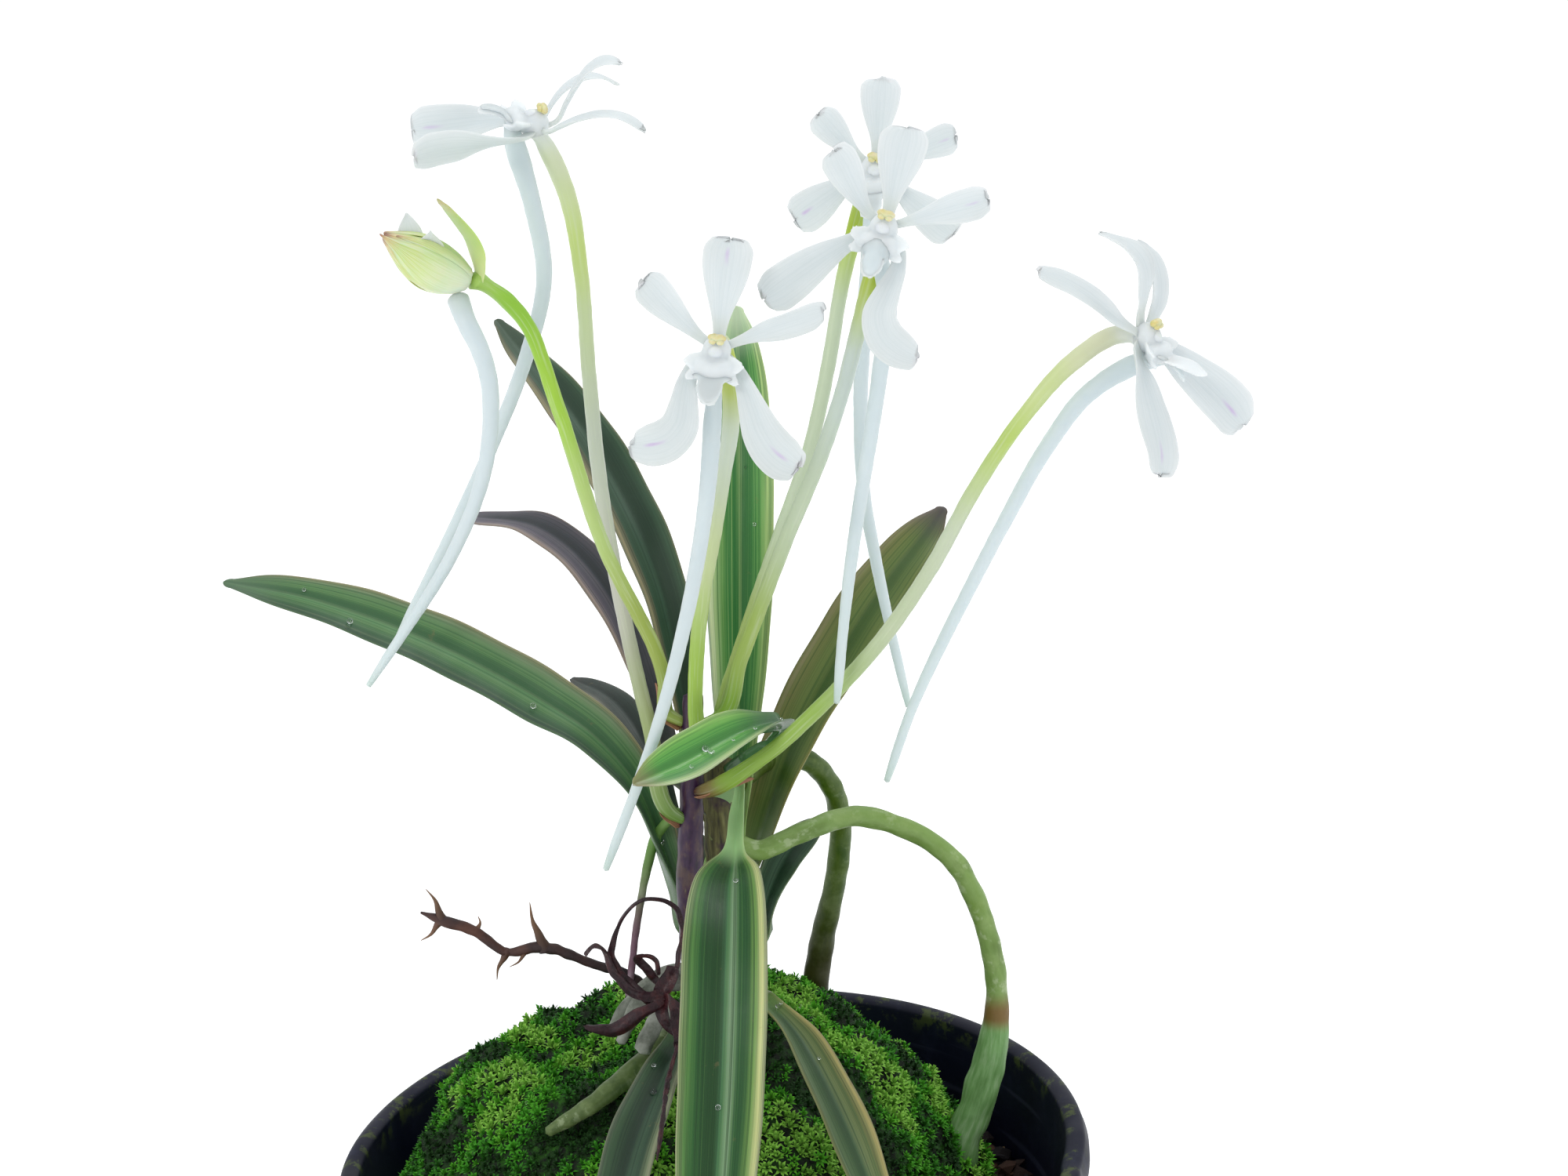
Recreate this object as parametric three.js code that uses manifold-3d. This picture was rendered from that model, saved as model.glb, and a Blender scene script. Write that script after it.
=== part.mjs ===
// A flowering falcate orchid (Vanda falcata type) in a round nursery pot, in millimetres.
// Z is up, the pot stands on Z = 0 round the Z axis, and the fullest side of the plant looks toward -Y.
import * as THREE from "three";
import { mergeVertices } from "three/addons/utils/BufferGeometryUtils.js";
import Module from "manifold-3d";

const wasm = await Module();
wasm.setup();

// ---- sizes that drive the object ----
const POT_HEIGHT = 80;
const POT_RIM_RADIUS = 45;
const POT_RIM_HEIGHT = 4.5;
const POT_RIM_LIP = 1.6;
const POT_BASE_RADIUS = 32;
const POT_WALL = 1.2;
const POT_FLOOR = 2;
const DRAIN_RADIUS = 4;
const DRAIN_RING = 21;
const DRAIN_COUNT = 5;
const FIT_GAP = 0.35;
const MEDIUM_DROP = 13;
const MOSS_PEAK = 29;
const MOSS_MARGIN = 3.3;
const STEM_RADIUS = 2.6;
const RACHIS_RADIUS = 1.6;
const LEAF_WIDTH = 9;
const LEAF_THICKNESS = 0.9;
const TEPAL_LENGTH = 11.6;
const TEPAL_WIDTH = 5.2;
const TEPAL_THICKNESS = 0.45;
const TEPAL_START = 2.2;
const COLUMN_RADIUS = 1.3;
const STALK_RADIUS = 0.82;
const SPUR_RADIUS = 1.15;
const BUD_RADIUS = 2.9;
const ROOT_RADIUS = 1.9;
const MEDIUM_TOP = POT_HEIGHT - MEDIUM_DROP;

const root = new THREE.Group();
const vessel = new THREE.Group();
const plant = new THREE.Group();
plant.position.set(0, 0, MEDIUM_TOP); // heights of the plant are measured up from the growing medium
root.add(vessel, plant);

const V = (x, y, z) => new THREE.Vector3(x, y, z);
const at = (p) => V(p[0], p[1], p[2]);
const lerp = THREE.MathUtils.lerp;
const rad = THREE.MathUtils.degToRad;
const coat = (color, roughness) => new THREE.MeshStandardMaterial({ color, roughness, metalness: 0 });
const looks = {
  pot: coat(0x14151e, 0.5),
  medium: coat(0x33261e, 0.95),
  moss: coat(0x4d9624, 0.9),
  stem: coat(0x66703c, 0.6),
  rachis: coat(0x3c2a44, 0.5),
  root: coat(0x7d8b46, 0.6),
  leaf: coat(0x3d7a44, 0.45),
  tepal: coat(0xf2f4fa, 0.55),
  stalk: coat(0xb4cf62, 0.5),
  bud: coat(0xdfe6a0, 0.55),
  dried: coat(0x452026, 0.7),
  twig: coat(0x5c3a33, 0.7),
};

// Value of a stepped table [[place, value], ...] at x, eased between its rows.
function table(rows, x) {
  if (x <= rows[0][0]) return rows[0][1];
  for (let i = 1; i < rows.length; i++) {
    if (x <= rows[i][0]) {
      const s = (x - rows[i - 1][0]) / (rows[i][0] - rows[i - 1][0]);
      return lerp(rows[i - 1][1], rows[i][1], s);
    }
  }
  return rows[rows.length - 1][1];
}

// Closed skin over rings of equal count, each end closed by a fan to its own middle point.
function skin(first, rings, last) {
  const n = rings[0].length;
  const points = [first, ...rings.flat(), last];
  const end = points.length - 1;
  const at = (i, j) => 1 + i * n + (j % n);
  const faces = [];
  for (let j = 0; j < n; j++) faces.push(0, at(0, j + 1), at(0, j));
  for (let i = 0; i + 1 < rings.length; i++) {
    for (let j = 0; j < n; j++) {
      faces.push(at(i, j), at(i, j + 1), at(i + 1, j + 1));
      faces.push(at(i, j), at(i + 1, j + 1), at(i + 1, j));
    }
  }
  for (let j = 0; j < n; j++) faces.push(end, at(rings.length - 1, j), at(rings.length - 1, j + 1));
  let volume = 0;
  for (let i = 0; i < faces.length; i += 3) {
    const [a, b, c] = [points[faces[i]], points[faces[i + 1]], points[faces[i + 2]]];
    volume += a.dot(b.clone().cross(c));
  }
  if (volume < 0) {
    for (let i = 0; i < faces.length; i += 3) faces.splice(i, 3, faces[i], faces[i + 2], faces[i + 1]);
  }
  const g = new THREE.BufferGeometry();
  const places = points.flatMap((p) => [p.x, p.y, p.z]);
  g.setAttribute("position", new THREE.Float32BufferAttribute(places, 3));
  g.setIndex(faces);
  return g;
}

// Names a mesh and stands it in its group, moved to its own foot when one is given.
function add(group, name, look, geometry, foot = V(0, 0, 0)) {
  geometry.translate(-foot.x, -foot.y, -foot.z);
  const mesh = new THREE.Mesh(geometry, look);
  mesh.name = name;
  mesh.position.copy(foot);
  group.add(mesh);
  return mesh;
}

function solid(geometry) {
  const bare = geometry.clone();
  bare.deleteAttribute("normal");
  bare.deleteAttribute("uv");
  const merged = mergeVertices(bare, 1e-4);
  const vertProperties = new Float32Array(merged.getAttribute("position").array);
  const triVerts = new Uint32Array(merged.index.array);
  return new wasm.Manifold(new wasm.Mesh({ numProp: 3, vertProperties, triVerts }));
}

function surface(manifold) {
  const m = manifold.getMesh();
  const g = new THREE.BufferGeometry();
  const p = [];
  for (let i = 0; i < m.numVert; i++) p.push(...m.vertProperties.slice(i * m.numProp, i * m.numProp + 3));
  g.setAttribute("position", new THREE.Float32BufferAttribute(p, 3));
  g.setIndex([...m.triVerts]);
  return g;
}

const curveOf = (points) => new THREE.CatmullRomCurve3(points, false, "centripetal");

// Round rod along a curve. radius(d, length) is taken at distance d from the start.
function rod(points, radius, stops, sides = 8) {
  const curve = curveOf(points);
  const length = curve.getLength();
  const evenly = (count) => [...Array(count + 1).keys()].map((i) => (i / count) * length);
  const places = typeof stops === "number" ? evenly(stops) : stops(length);
  let side = V(0.9, -0.4, 0.1).normalize();
  const rings = places.map((d) => {
    const u = Math.min(d / length, 1);
    const t = curve.getTangentAt(u);
    side = side.clone().addScaledVector(t, -side.dot(t)).normalize();
    const other = t.clone().cross(side);
    const r = radius(d, length);
    const c = curve.getPointAt(u);
    return [...Array(sides).keys()].map((j) => {
      const a = (2 * Math.PI * j) / sides;
      return c.clone().addScaledVector(side, r * Math.cos(a)).addScaledVector(other, r * Math.sin(a));
    });
  });
  const r0 = radius(places[0], length);
  const r1 = radius(places[places.length - 1], length);
  const first = curve.getPointAt(0).addScaledVector(curve.getTangentAt(0), -0.35 * r0);
  const last = curve.getPointAt(1).addScaledVector(curve.getTangentAt(1), 0.35 * r1);
  return skin(first, rings, last);
}

// Eight points round a strap section: two edges, three points on the upper face, three on the lower.
function strapRing(c, side, face, half, fold, thick) {
  const spread = Math.cos(fold);
  const lift = Math.sin(fold);
  const put = (s, n) => c.clone().addScaledVector(side, s).addScaledVector(face, n);
  return [
    put(-half * spread, half * lift),
    put(-half * 0.52 * spread, half * 0.46 * lift + thick * 0.42),
    put(0, thick * 0.42),
    put(half * 0.52 * spread, half * 0.46 * lift + thick * 0.42),
    put(half * spread, half * lift),
    put(half * 0.52 * spread, half * 0.46 * lift - thick * 0.5),
    put(0, -thick * 0.7),
    put(-half * 0.52 * spread, half * 0.46 * lift - thick * 0.5),
  ];
}

// ---- pot, growing medium, moss ----
const rimInner = POT_RIM_RADIUS - POT_RIM_LIP - POT_WALL;
const slope = (rimInner - (POT_BASE_RADIUS - POT_WALL)) / (POT_HEIGHT - POT_FLOOR);
const innerRadius = (z) => POT_BASE_RADIUS - POT_WALL + (z - POT_FLOOR) * slope;
const potOutline = [
  [0, 0],
  [POT_BASE_RADIUS - 1, 0],
  [POT_BASE_RADIUS, 1],
  [innerRadius(POT_HEIGHT - POT_RIM_HEIGHT) + POT_WALL, POT_HEIGHT - POT_RIM_HEIGHT],
  [POT_RIM_RADIUS - 0.5, POT_HEIGHT - POT_RIM_HEIGHT],
  [POT_RIM_RADIUS, POT_HEIGHT - POT_RIM_HEIGHT + 0.6],
  [POT_RIM_RADIUS, POT_HEIGHT - 0.8],
  [POT_RIM_RADIUS - 0.8, POT_HEIGHT],
  [rimInner + 0.4, POT_HEIGHT],
  [rimInner, POT_HEIGHT - 0.6],
  [innerRadius(POT_FLOOR), POT_FLOOR],
  [0, POT_FLOOR],
];
const flat = (outline) => outline.map(([r, z]) => new THREE.Vector2(r, z));
const turned = (outline, segments) => new THREE.LatheGeometry(flat(outline), segments);
let shell = solid(turned(potOutline, 48));
for (let i = 0; i < DRAIN_COUNT; i++) {
  const a = (2 * Math.PI * (i + 0.25)) / DRAIN_COUNT;
  const drill = new THREE.CylinderGeometry(DRAIN_RADIUS, DRAIN_RADIUS, POT_FLOOR * 4, 14);
  drill.translate(DRAIN_RING * Math.cos(a), POT_FLOOR / 2, DRAIN_RING * Math.sin(a));
  shell = shell.subtract(solid(drill));
}
// Turned shapes are made round Y and stood up on Z.
add(vessel, "pot", looks.pot, surface(shell)).rotation.x = Math.PI / 2;

const plugBottom = POT_FLOOR + FIT_GAP;
const plug = turned(
  [
    [0, plugBottom],
    [innerRadius(plugBottom) - FIT_GAP, plugBottom],
    [innerRadius(MEDIUM_TOP) - FIT_GAP, MEDIUM_TOP - 0.6],
    [innerRadius(MEDIUM_TOP) * 0.9, MEDIUM_TOP],
    [innerRadius(MEDIUM_TOP) * 0.5, MEDIUM_TOP],
    [0, MEDIUM_TOP],
  ],
  36,
);
add(vessel, "growing_medium", looks.medium, plug).rotation.x = Math.PI / 2;

// Moss mound: broad on the left and front, cut short on the right where bare medium shows.
const mossMiddle = V(0, 3, 0);
const mossReach = innerRadius(MEDIUM_TOP) - MOSS_MARGIN;
function mossEdge(a) {
  const right = Math.max(0, Math.cos(a - rad(-12)));
  const left = Math.max(0, -Math.cos(a));
  return mossReach * (1 - 0.11 * right ** 3 + 0.065 * left ** 2 + 0.012 * Math.sin(5 * a + 1));
}
function mossHeight(s, a) {
  const left = Math.max(0, -Math.cos(a));
  const power = 3.1 - 1.1 * Math.cos(a) + 0.5 * left;
  const lumps = 0.5 * Math.sin(3 * a + 7 * s) * s + 0.4 * Math.sin(5 * a - 9 * s) * s;
  const hollow = 8 * left * Math.sin(Math.PI * Math.min(s, 1)) * (1 - s);
  const brim = 2 + 3 * left * left;
  return (MOSS_PEAK - brim) * (1 - Math.min(s, 1) ** power) + brim + lumps - hollow;
}
const mossRings = [];
const MOSS_SIDES = 40;
const mossSteps = [
  [1, true], [1, false], [0.95, false], [0.88, false], [0.8, false], [0.7, false], [0.58, false],
  [0.45, false], [0.32, false], [0.18, false],
];
for (const [s, low] of mossSteps) {
  mossRings.push(
    [...Array(MOSS_SIDES).keys()].map((j) => {
      const a = (2 * Math.PI * j) / MOSS_SIDES;
      const r = mossEdge(a) * s * (low ? 0.985 : 1);
      const lean = 1 - s;
      const z = FIT_GAP + (low ? 0 : mossHeight(s, a));
      return V(mossMiddle.x + 5 * lean + r * Math.cos(a), mossMiddle.y + 2 * lean + r * Math.sin(a), z);
    }),
  );
}
const mossLow = V(mossMiddle.x, mossMiddle.y, FIT_GAP);
const mossHigh = V(mossMiddle.x + 5, mossMiddle.y + 2, FIT_GAP + MOSS_PEAK);
let moss = solid(skin(mossLow, mossRings, mossHigh));

// ---- stem, flower stalk, roots: each also hollows the moss it stands in ----
function sunk(name, look, path, radius, stops) {
  moss = moss.subtract(solid(rod(path, (d, l) => radius(d, l) + FIT_GAP, stops)));
  add(plant, name, look, rod(path, radius, stops), path[0]);
}
const stemPath = [[4.6, 3.6, 23], [4.4, 3.4, 33], [4.2, 3.2, 45], [4.2, 3.6, 60]].map(at);
sunk("stem", looks.stem, stemPath, (d, l) => STEM_RADIUS * lerp(1.25, 0.7, d / l), 8);

// Point beside the stem: compass angle in degrees, distance out from its skin, height.
function besideStem([angle, out, z]) {
  const r = STEM_RADIUS + out;
  return V(4.3 + r * Math.cos(rad(angle)), 3.4 + r * Math.sin(rad(angle)), z);
}
const rachisPath = [
  besideStem([230, 3.9, 36]),
  ...[[0, -2.2, 45], [0.8, -2.2, 55], [1.7, -1.2, 63], [2.2, 0, 69.5]].map(at),
];
const rachisRadius = (d, l) => RACHIS_RADIUS * lerp(1.12, 0.72, d / l);
add(plant, "rachis", looks.rachis, rod(rachisPath, rachisRadius, 9), rachisPath[0]);

const roots = {
  arching_root: {
    path: [
      besideStem([-12, 2, 49]),
      ...[[14.5, 4.5, 50.4], [21.2, 8, 50], [31, 10, 43.2], [35.2, 9.5, 31]].map(at),
      ...[[35, 8, 21], [32.4, 6.4, 13], [29.6, 5, 6.6], [28.8, 4, 2]].map(at),
    ],
    girth: [[0, 0.62], [0.5, 0.66], [0.66, 0.72], [0.7, 0.95], [0.76, 1.1], [1, 1.15]],
    stops: 22,
  },
  rear_root: {
    path: [
      [12, 15.4, 55.6], [15, 18, 53.8], [18, 21, 47.5], [17.8, 22, 39.5], [14.6, 22, 27],
      [13, 21.5, 18],
    ].map(at),
    girth: [[0, 0.7], [0.6, 0.72], [0.8, 0.85], [1, 0.9]],
    stops: 14,
  },
  lying_root: {
    path: [
      [-4, -2, 28.6], [-5.6, -5, 28.2], [-8.8, -9.2, 27.6], [-12.6, -13, 26.4], [-18, -15, 24.2],
    ].map(at),
    girth: [[0, 0.75], [0.3, 0.85], [0.8, 0.8], [1, 0.6]],
    stops: 7,
  },
};
for (const [name, r] of Object.entries(roots)) {
  sunk(name, looks.root, r.path, (d, l) => ROOT_RADIUS * table(r.girth, d / l), r.stops);
}

// ---- leaves ----
// from: place beside the stem; path: waypoints on from there; width: share of LEAF_WIDTH;
// shape: width along the leaf; fold and twist in degrees at base, middle and tip.
const neckedLeaf = [
  [0, 0.32], [0.13, 0.34], [0.17, 0.52], [0.25, 0.9], [0.33, 1], [0.55, 0.98], [0.75, 0.84],
  [0.87, 0.68], [0.94, 0.46], [0.985, 0.2],
];
const curledLeaf = [
  [0, 0.42], [0.3, 0.46], [0.45, 0.8], [0.6, 1], [0.78, 0.94], [0.9, 0.66], [0.95, 0.42], [0.985, 0.2],
];
const broadLeaf = [
  [0, 0.72], [0.12, 0.84], [0.3, 0.97], [0.5, 1], [0.72, 0.94], [0.86, 0.74], [0.94, 0.48],
  [0.985, 0.22],
];
const overRim = -(POT_RIM_RADIUS + 1.8);
const rimLevel = MEDIUM_DROP;
const leaves = {
  leaf_front: {
    from: [-62, 2.3, 58.2],
    path: [
      [6.3, -5, 56.4], [5.9, -10, 54.4], [5.1, -19, 53.8], [4.4, -28, 49], [2.9, -36, 37],
      [1.1, -40.5, 24], [-0.6, overRim, rimLevel], [-1.6, overRim - 2.7, rimLevel - 10],
    ],
    width: 1.1,
    shape: neckedLeaf,
    fold: [46, 14, 12],
    twist: [0, 0, 0],
  },
  leaf_upright: {
    from: [75, 2.4, 51],
    path: [[7, 8.6, 61], [8.8, 14, 81], [10.1, 23, 99], [10.4, 30, 108]],
    width: 0.98,
    fold: [40, 20, 10],
    twist: [0, 0, 0],
  },
  leaf_upper_left: {
    from: [121, 3, 55],
    path: [[0.6, 9.6, 66], [-1.4, 15, 79], [-8, 27, 92.5], [-19.4, 40, 106.5]],
    width: 0.8,
    fold: [42, 26, 14],
    twist: [0, -8, -10],
  },
  leaf_middle_left: {
    from: [148, 3.9, 57],
    path: [[-3.4, 9.8, 67], [-8, 19, 77.2], [-15.5, 28, 82.5], [-26, 36, 83]],
    width: 0.66,
    fold: [42, 24, 10],
    twist: [0, -10, -14],
  },
  leaf_big_left: {
    from: [187, 2.5, 39],
    path: [
      [-3.2, 4, 50], [-7, 6.8, 59.2], [-15, 12, 65.4], [-28.1, 18, 72], [-42.4, 22, 77.6],
      [-54, 24.5, 80],
    ],
    width: 0.86,
    fold: [48, 16, 8],
    twist: [0, -38, -34],
  },
  leaf_right: {
    from: [66, 5.8, 45],
    path: [[10.2, 11, 51.5], [13.8, 13.8, 59], [24, 24, 71.5], [34, 34, 80]],
    width: 0.9,
    shape: broadLeaf,
    fold: [34, 22, 10],
    twist: [0, 24, 34],
  },
  leaf_lower_right_rear: {
    from: [31, 2.2, 37],
    path: [[8.8, 6.2, 40.6], [11.2, 10, 44.4], [15.8, 15, 47.6]],
    width: 0.56,
    fold: [46, 26, 12],
    twist: [0, 16, 18],
  },
  leaf_curled: {
    from: [-48, 2.2, 61.4],
    path: [
      [10.4, 0.6, 62.8], [12, -1.4, 65.4], [9.4, -5.2, 66.8], [5.4, -9.2, 66.8], [1, -13.2, 66.2],
      [-4.6, -17.2, 65.6],
    ],
    width: 0.8,
    shape: curledLeaf,
    fold: [50, 42, 26],
    twist: [0, -24, -44],
  },
  leaf_lower_left: {
    from: [239, 8.9, 31],
    path: [[-4.2, -15, 29.4], [-7.4, -24, 26], [-9.8, -31.5, 21.6], [-12, -37.4, 16.6]],
    width: 0.76,
    fold: [40, 26, 12],
    twist: [0, 0, 0],
  },
  leaf_lower_right: {
    from: [-69, 6.8, 33.2],
    path: [[11.6, -12.6, 31.2], [15.6, -21, 25.2], [18.2, -27, 19.2], [19.8, -31.4, 15.4]],
    width: 0.66,
    fold: [40, 26, 12],
    twist: [0, 0, 0],
  },
  leaf_small_rear: {
    from: [133, 6, 50],
    path: [[-4.4, 15, 57.6], [-8.4, 22, 62], [-13.6, 29, 63]],
    width: 0.5,
    fold: [44, 24, 10],
    twist: [0, -6, -10],
  },
};
const leafWidth = [
  [0, 0.5], [0.12, 0.6], [0.3, 0.88], [0.5, 1], [0.72, 0.94], [0.86, 0.72], [0.94, 0.46], [0.985, 0.2],
];
const leafStops = [0, 0.07, 0.15, 0.24, 0.34, 0.45, 0.56, 0.67, 0.78, 0.87, 0.94, 0.985];
for (const [name, leaf] of Object.entries(leaves)) {
  const path = [besideStem(leaf.from), ...leaf.path.map(at)];
  const curve = curveOf(path);
  const heading = path[path.length - 1].clone().sub(path[0]).setZ(0).normalize();
  const left = V(-heading.y, heading.x, 0);
  const three = (values, u) => table([[0, values[0]], [0.45, values[1]], [1, values[2]]], u);
  const rings = leafStops.map((u) => {
    const t = curve.getTangentAt(u);
    const side = left.clone().addScaledVector(t, -left.dot(t)).normalize();
    side.applyAxisAngle(t, rad(three(leaf.twist, u)));
    const face = t.clone().cross(side);
    const half = (LEAF_WIDTH / 2) * leaf.width * table(leaf.shape ?? leafWidth, u);
    const thick = LEAF_THICKNESS * table([[0, 1.25], [0.5, 1], [1, 0.55]], u);
    return strapRing(curve.getPointAt(u), side, face, half, rad(three(leaf.fold, u)), thick);
  });
  add(plant, name, looks.leaf, skin(curve.getPointAt(0), rings, curve.getPointAt(1)), path[0]);
}

// ---- flowers ----
// facing: way the flower looks; top: way its dorsal sepal points. Tepal rows hold the angle at the base,
// angle at the tip (degrees from the top), length share, lean, curl, width share, twist and bow.
const tepalWidth = [
  [0, 0.28], [0.15, 0.38], [0.4, 0.7], [0.65, 0.98], [0.8, 1], [0.92, 0.94], [0.985, 0.7],
];
const tepalStops = [0, 0.18, 0.38, 0.58, 0.76, 0.9, 0.98];
const usual = {
  dorsal_sepal: [0, 0, 0.92, 8, 0.5, 1, 0],
  left_petal: [-60, -57, 0.84, 8, 0.5, 0.8, 0],
  right_petal: [60, 57, 0.84, 8, 0.5, 0.8, 0],
  left_lateral_sepal: [-124, -146, 1.14, 12, 0.4, 0.92, 0],
  right_lateral_sepal: [124, 146, 1.14, 12, 0.4, 0.92, 0],
};
const flowers = {
  front_flower: {
    centre: [8.2, -8, 111.3],
    facing: [-0.1, -0.97, 0.14],
    top: [0.2, 0.1, 0.97],
    tepals: {
      dorsal_sepal: [0, 0, 0.9, 8, 0.5, 1.05, 0],
      left_petal: [-60, -54, 0.8, 8, 0.5, 0.78, 0],
      right_petal: [60, 62, 0.96, 14, 0.6, 0.72, 30],
      left_lateral_sepal: [-124, -146, 1.04, 8, 0.3, 0.92, 0, -20],
      right_lateral_sepal: [124, 137, 1.22, 12, 0.5, 0.95, 0, 8],
    },
    stalk: [[2.6, -3.2, 71], [3.8, -0.6, 79.2], [7, 0, 92.2], [9.4, -3.2, 105.2]],
    from: [-80, 64],
    spur: [
      [7.2, -7.4, 104], [5.6, -5.4, 93.6], [2.8, -6.6, 82.3], [-1.8, -10.5, 69.4], [-8.6, -17, 55.5],
    ],
  },
  upper_flower: {
    centre: [27.2, -4, 122.5],
    facing: [-0.12, -0.95, 0.24],
    top: [0.33, 0.2, 0.92],
    tepals: {
      dorsal_sepal: [0, -2, 0.8, 8, 0.5, 1.05, 0],
      left_petal: [-60, -48, 0.7, 16, 0.5, 0.8, 0],
      right_petal: [60, 60, 0.86, 8, 0.5, 0.72, 20],
      left_lateral_sepal: [-124, -136, 1.16, 12, 0.4, 0.95, 0],
      right_lateral_sepal: [124, 150, 1.16, 14, 0.5, 0.82, 0, 22],
    },
    stalk: [[13.9, 3.6, 85.6], [20.2, 2.6, 99.2], [25.4, -0.6, 115.6]],
    from: [10, 66.5],
    spur: [
      [27.2, -2.8, 115.6], [24.6, -1.6, 100], [22.4, -1.6, 90], [20.4, -3, 80.6], [18.4, -6, 69.1],
    ],
  },
  rear_flower: {
    centre: [27.5, 20, 125],
    facing: [-0.05, -0.98, 0.12],
    top: [0.2, 0.1, 0.97],
    tepals: {
      dorsal_sepal: [0, -3, 0.74, 8, 0.5, 0.9, 0],
      left_petal: [-60, -54, 0.62, 10, 0.5, 0.74, 0],
      right_petal: [60, 60, 0.72, 10, 0.6, 0.74, 20],
      left_lateral_sepal: [-124, -130, 0.78, 10, 0.4, 0.92, 0],
      right_lateral_sepal: [124, 122, 0.88, 10, 0.4, 0.86, 0],
    },
    stalk: [[11.2, 8.4, 80], [18.4, 17, 95], [24, 22.4, 115]],
    from: [55, 62.5],
    spur: [[26.6, 19.4, 117.6], [24.8, 17.6, 105], [23.6, 15.6, 91], [24.7, 14, 78.3], [27.2, 11, 62]],
  },
  left_flower: {
    centre: [-10.8, 18, 133.3],
    facing: [-0.16, -0.28, 0.94],
    top: [0.96, 0.06, 0.2],
    tepals: {
      dorsal_sepal: [0, 4, 1.2, 42, 1.0, 0.9, 0],
      left_petal: [-60, -30, 1.02, 22, 1.2, 0.72, 0],
      right_petal: [60, 30, 1.14, 16, 1.1, 0.72, 0],
      left_lateral_sepal: [-124, -160, 1.1, 3, 0.1, 0.96, -62],
      right_lateral_sepal: [124, 158, 1.12, 9, 0.1, 1.05, 66],
    },
    stalk: [[-5.6, 8, 80], [-7.2, 15.5, 96.4], [-7.4, 21, 117], [-8.8, 19.8, 128.6]],
    from: [215, 57],
    spur: [
      [-12.4, 17.4, 126.4], [-11, 16.6, 119.6], [-12.4, 16.4, 111.6], [-17.7, 14.4, 99.7],
      [-23.1, 13, 90], [-32.6, 13, 74.4],
    ],
  },
  right_flower: {
    centre: [56, 3.4, 106.6],
    facing: [0.8, -0.54, 0.14],
    top: [-0.1, 0.1, 0.98],
    tepals: {
      dorsal_sepal: [0, -4, 1.1, 18, 1.5, 1, 10],
      left_petal: [-60, -42, 1.08, -22, 0.7, 0.8, -20],
      right_petal: [60, 24, 0.82, 6, 0.7, 0.9, 0],
      left_lateral_sepal: [-124, -164, 1.26, 12, 0.5, 0.95, 16],
      right_lateral_sepal: [124, 146, 1.26, 26, 0.3, 1, 20],
    },
    stalk: [
      [7.2, -6.2, 62.2], [12.6, -4.2, 65], [26.6, -1, 77.7], [36.5, 1.2, 92.1], [46.4, 3.2, 103.4],
    ],
    from: [-55, 59.4],
    spur: [[49.6, 4.2, 100.6], [44.4, 3, 95], [38, 1.6, 85.2], [27.6, 0, 67], [23.5, -1, 57.4]],
  },
};

// Point on the outside of the rachis, at a compass angle and a height, for a stalk of this radius.
function rachisSide(angle, z) {
  const curve = curveOf(rachisPath);
  let best = curve.getPointAt(0);
  for (let i = 0; i <= 60; i++) {
    const p = curve.getPointAt(i / 60);
    if (Math.abs(p.z - z) < Math.abs(best.z - z)) best = p;
  }
  const r = RACHIS_RADIUS * 1.1 + FIT_GAP + STALK_RADIUS;
  return V(best.x + r * Math.cos(rad(angle)), best.y + r * Math.sin(rad(angle)), z);
}

// Shares of the radius by distance back from the end: the column, then the ovary and the stalk below it.
const columnProfile = [[0.2, 0.5], [0.8, 0.9], [1.9, 1], [2.7, 0.92], [3.4, 0.7]];
const stalkProfile = [[3.4, 1.1], [5, 1.25], [10, 1.3], [20, 1.05]];
const columnRadius = (back) => COLUMN_RADIUS * table(columnProfile, back);
const stemRadius = (back) => STALK_RADIUS * table(stalkProfile, back);
const stalkRadius = (back) => (back < 3.4 ? columnRadius(back) : stemRadius(back));
const stalkStops = (l) => [0, 0.12, 0.25, 0.38, 0.52, 0.66, 0.8, 0.91].map((u) => u * (l - 5)).concat(
  [5, 3.5, 2.7, 1.9, 0.9, 0.25].map((d) => l - d),
);

// A flower's group stands at its centre: X to its right, Z to its top, -Y the way it faces.
function flowerGroup(flower) {
  const out = at(flower.facing).normalize();
  const top = at(flower.top);
  top.addScaledVector(out, -top.dot(out)).normalize();
  const right = top.clone().cross(out);
  const group = new THREE.Group();
  group.position.copy(at(flower.centre));
  group.quaternion.setFromRotationMatrix(new THREE.Matrix4().makeBasis(right, out.clone().negate(), top));
  group.updateMatrix();
  plant.add(group);
  return group;
}
// Point of a flower by its distance out toward the viewer, up and right.
const spot = (out, up, right = 0) => V(right, -out, up);
const inside = (group, point) => point.clone().applyMatrix4(group.matrix.clone().invert());

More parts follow.
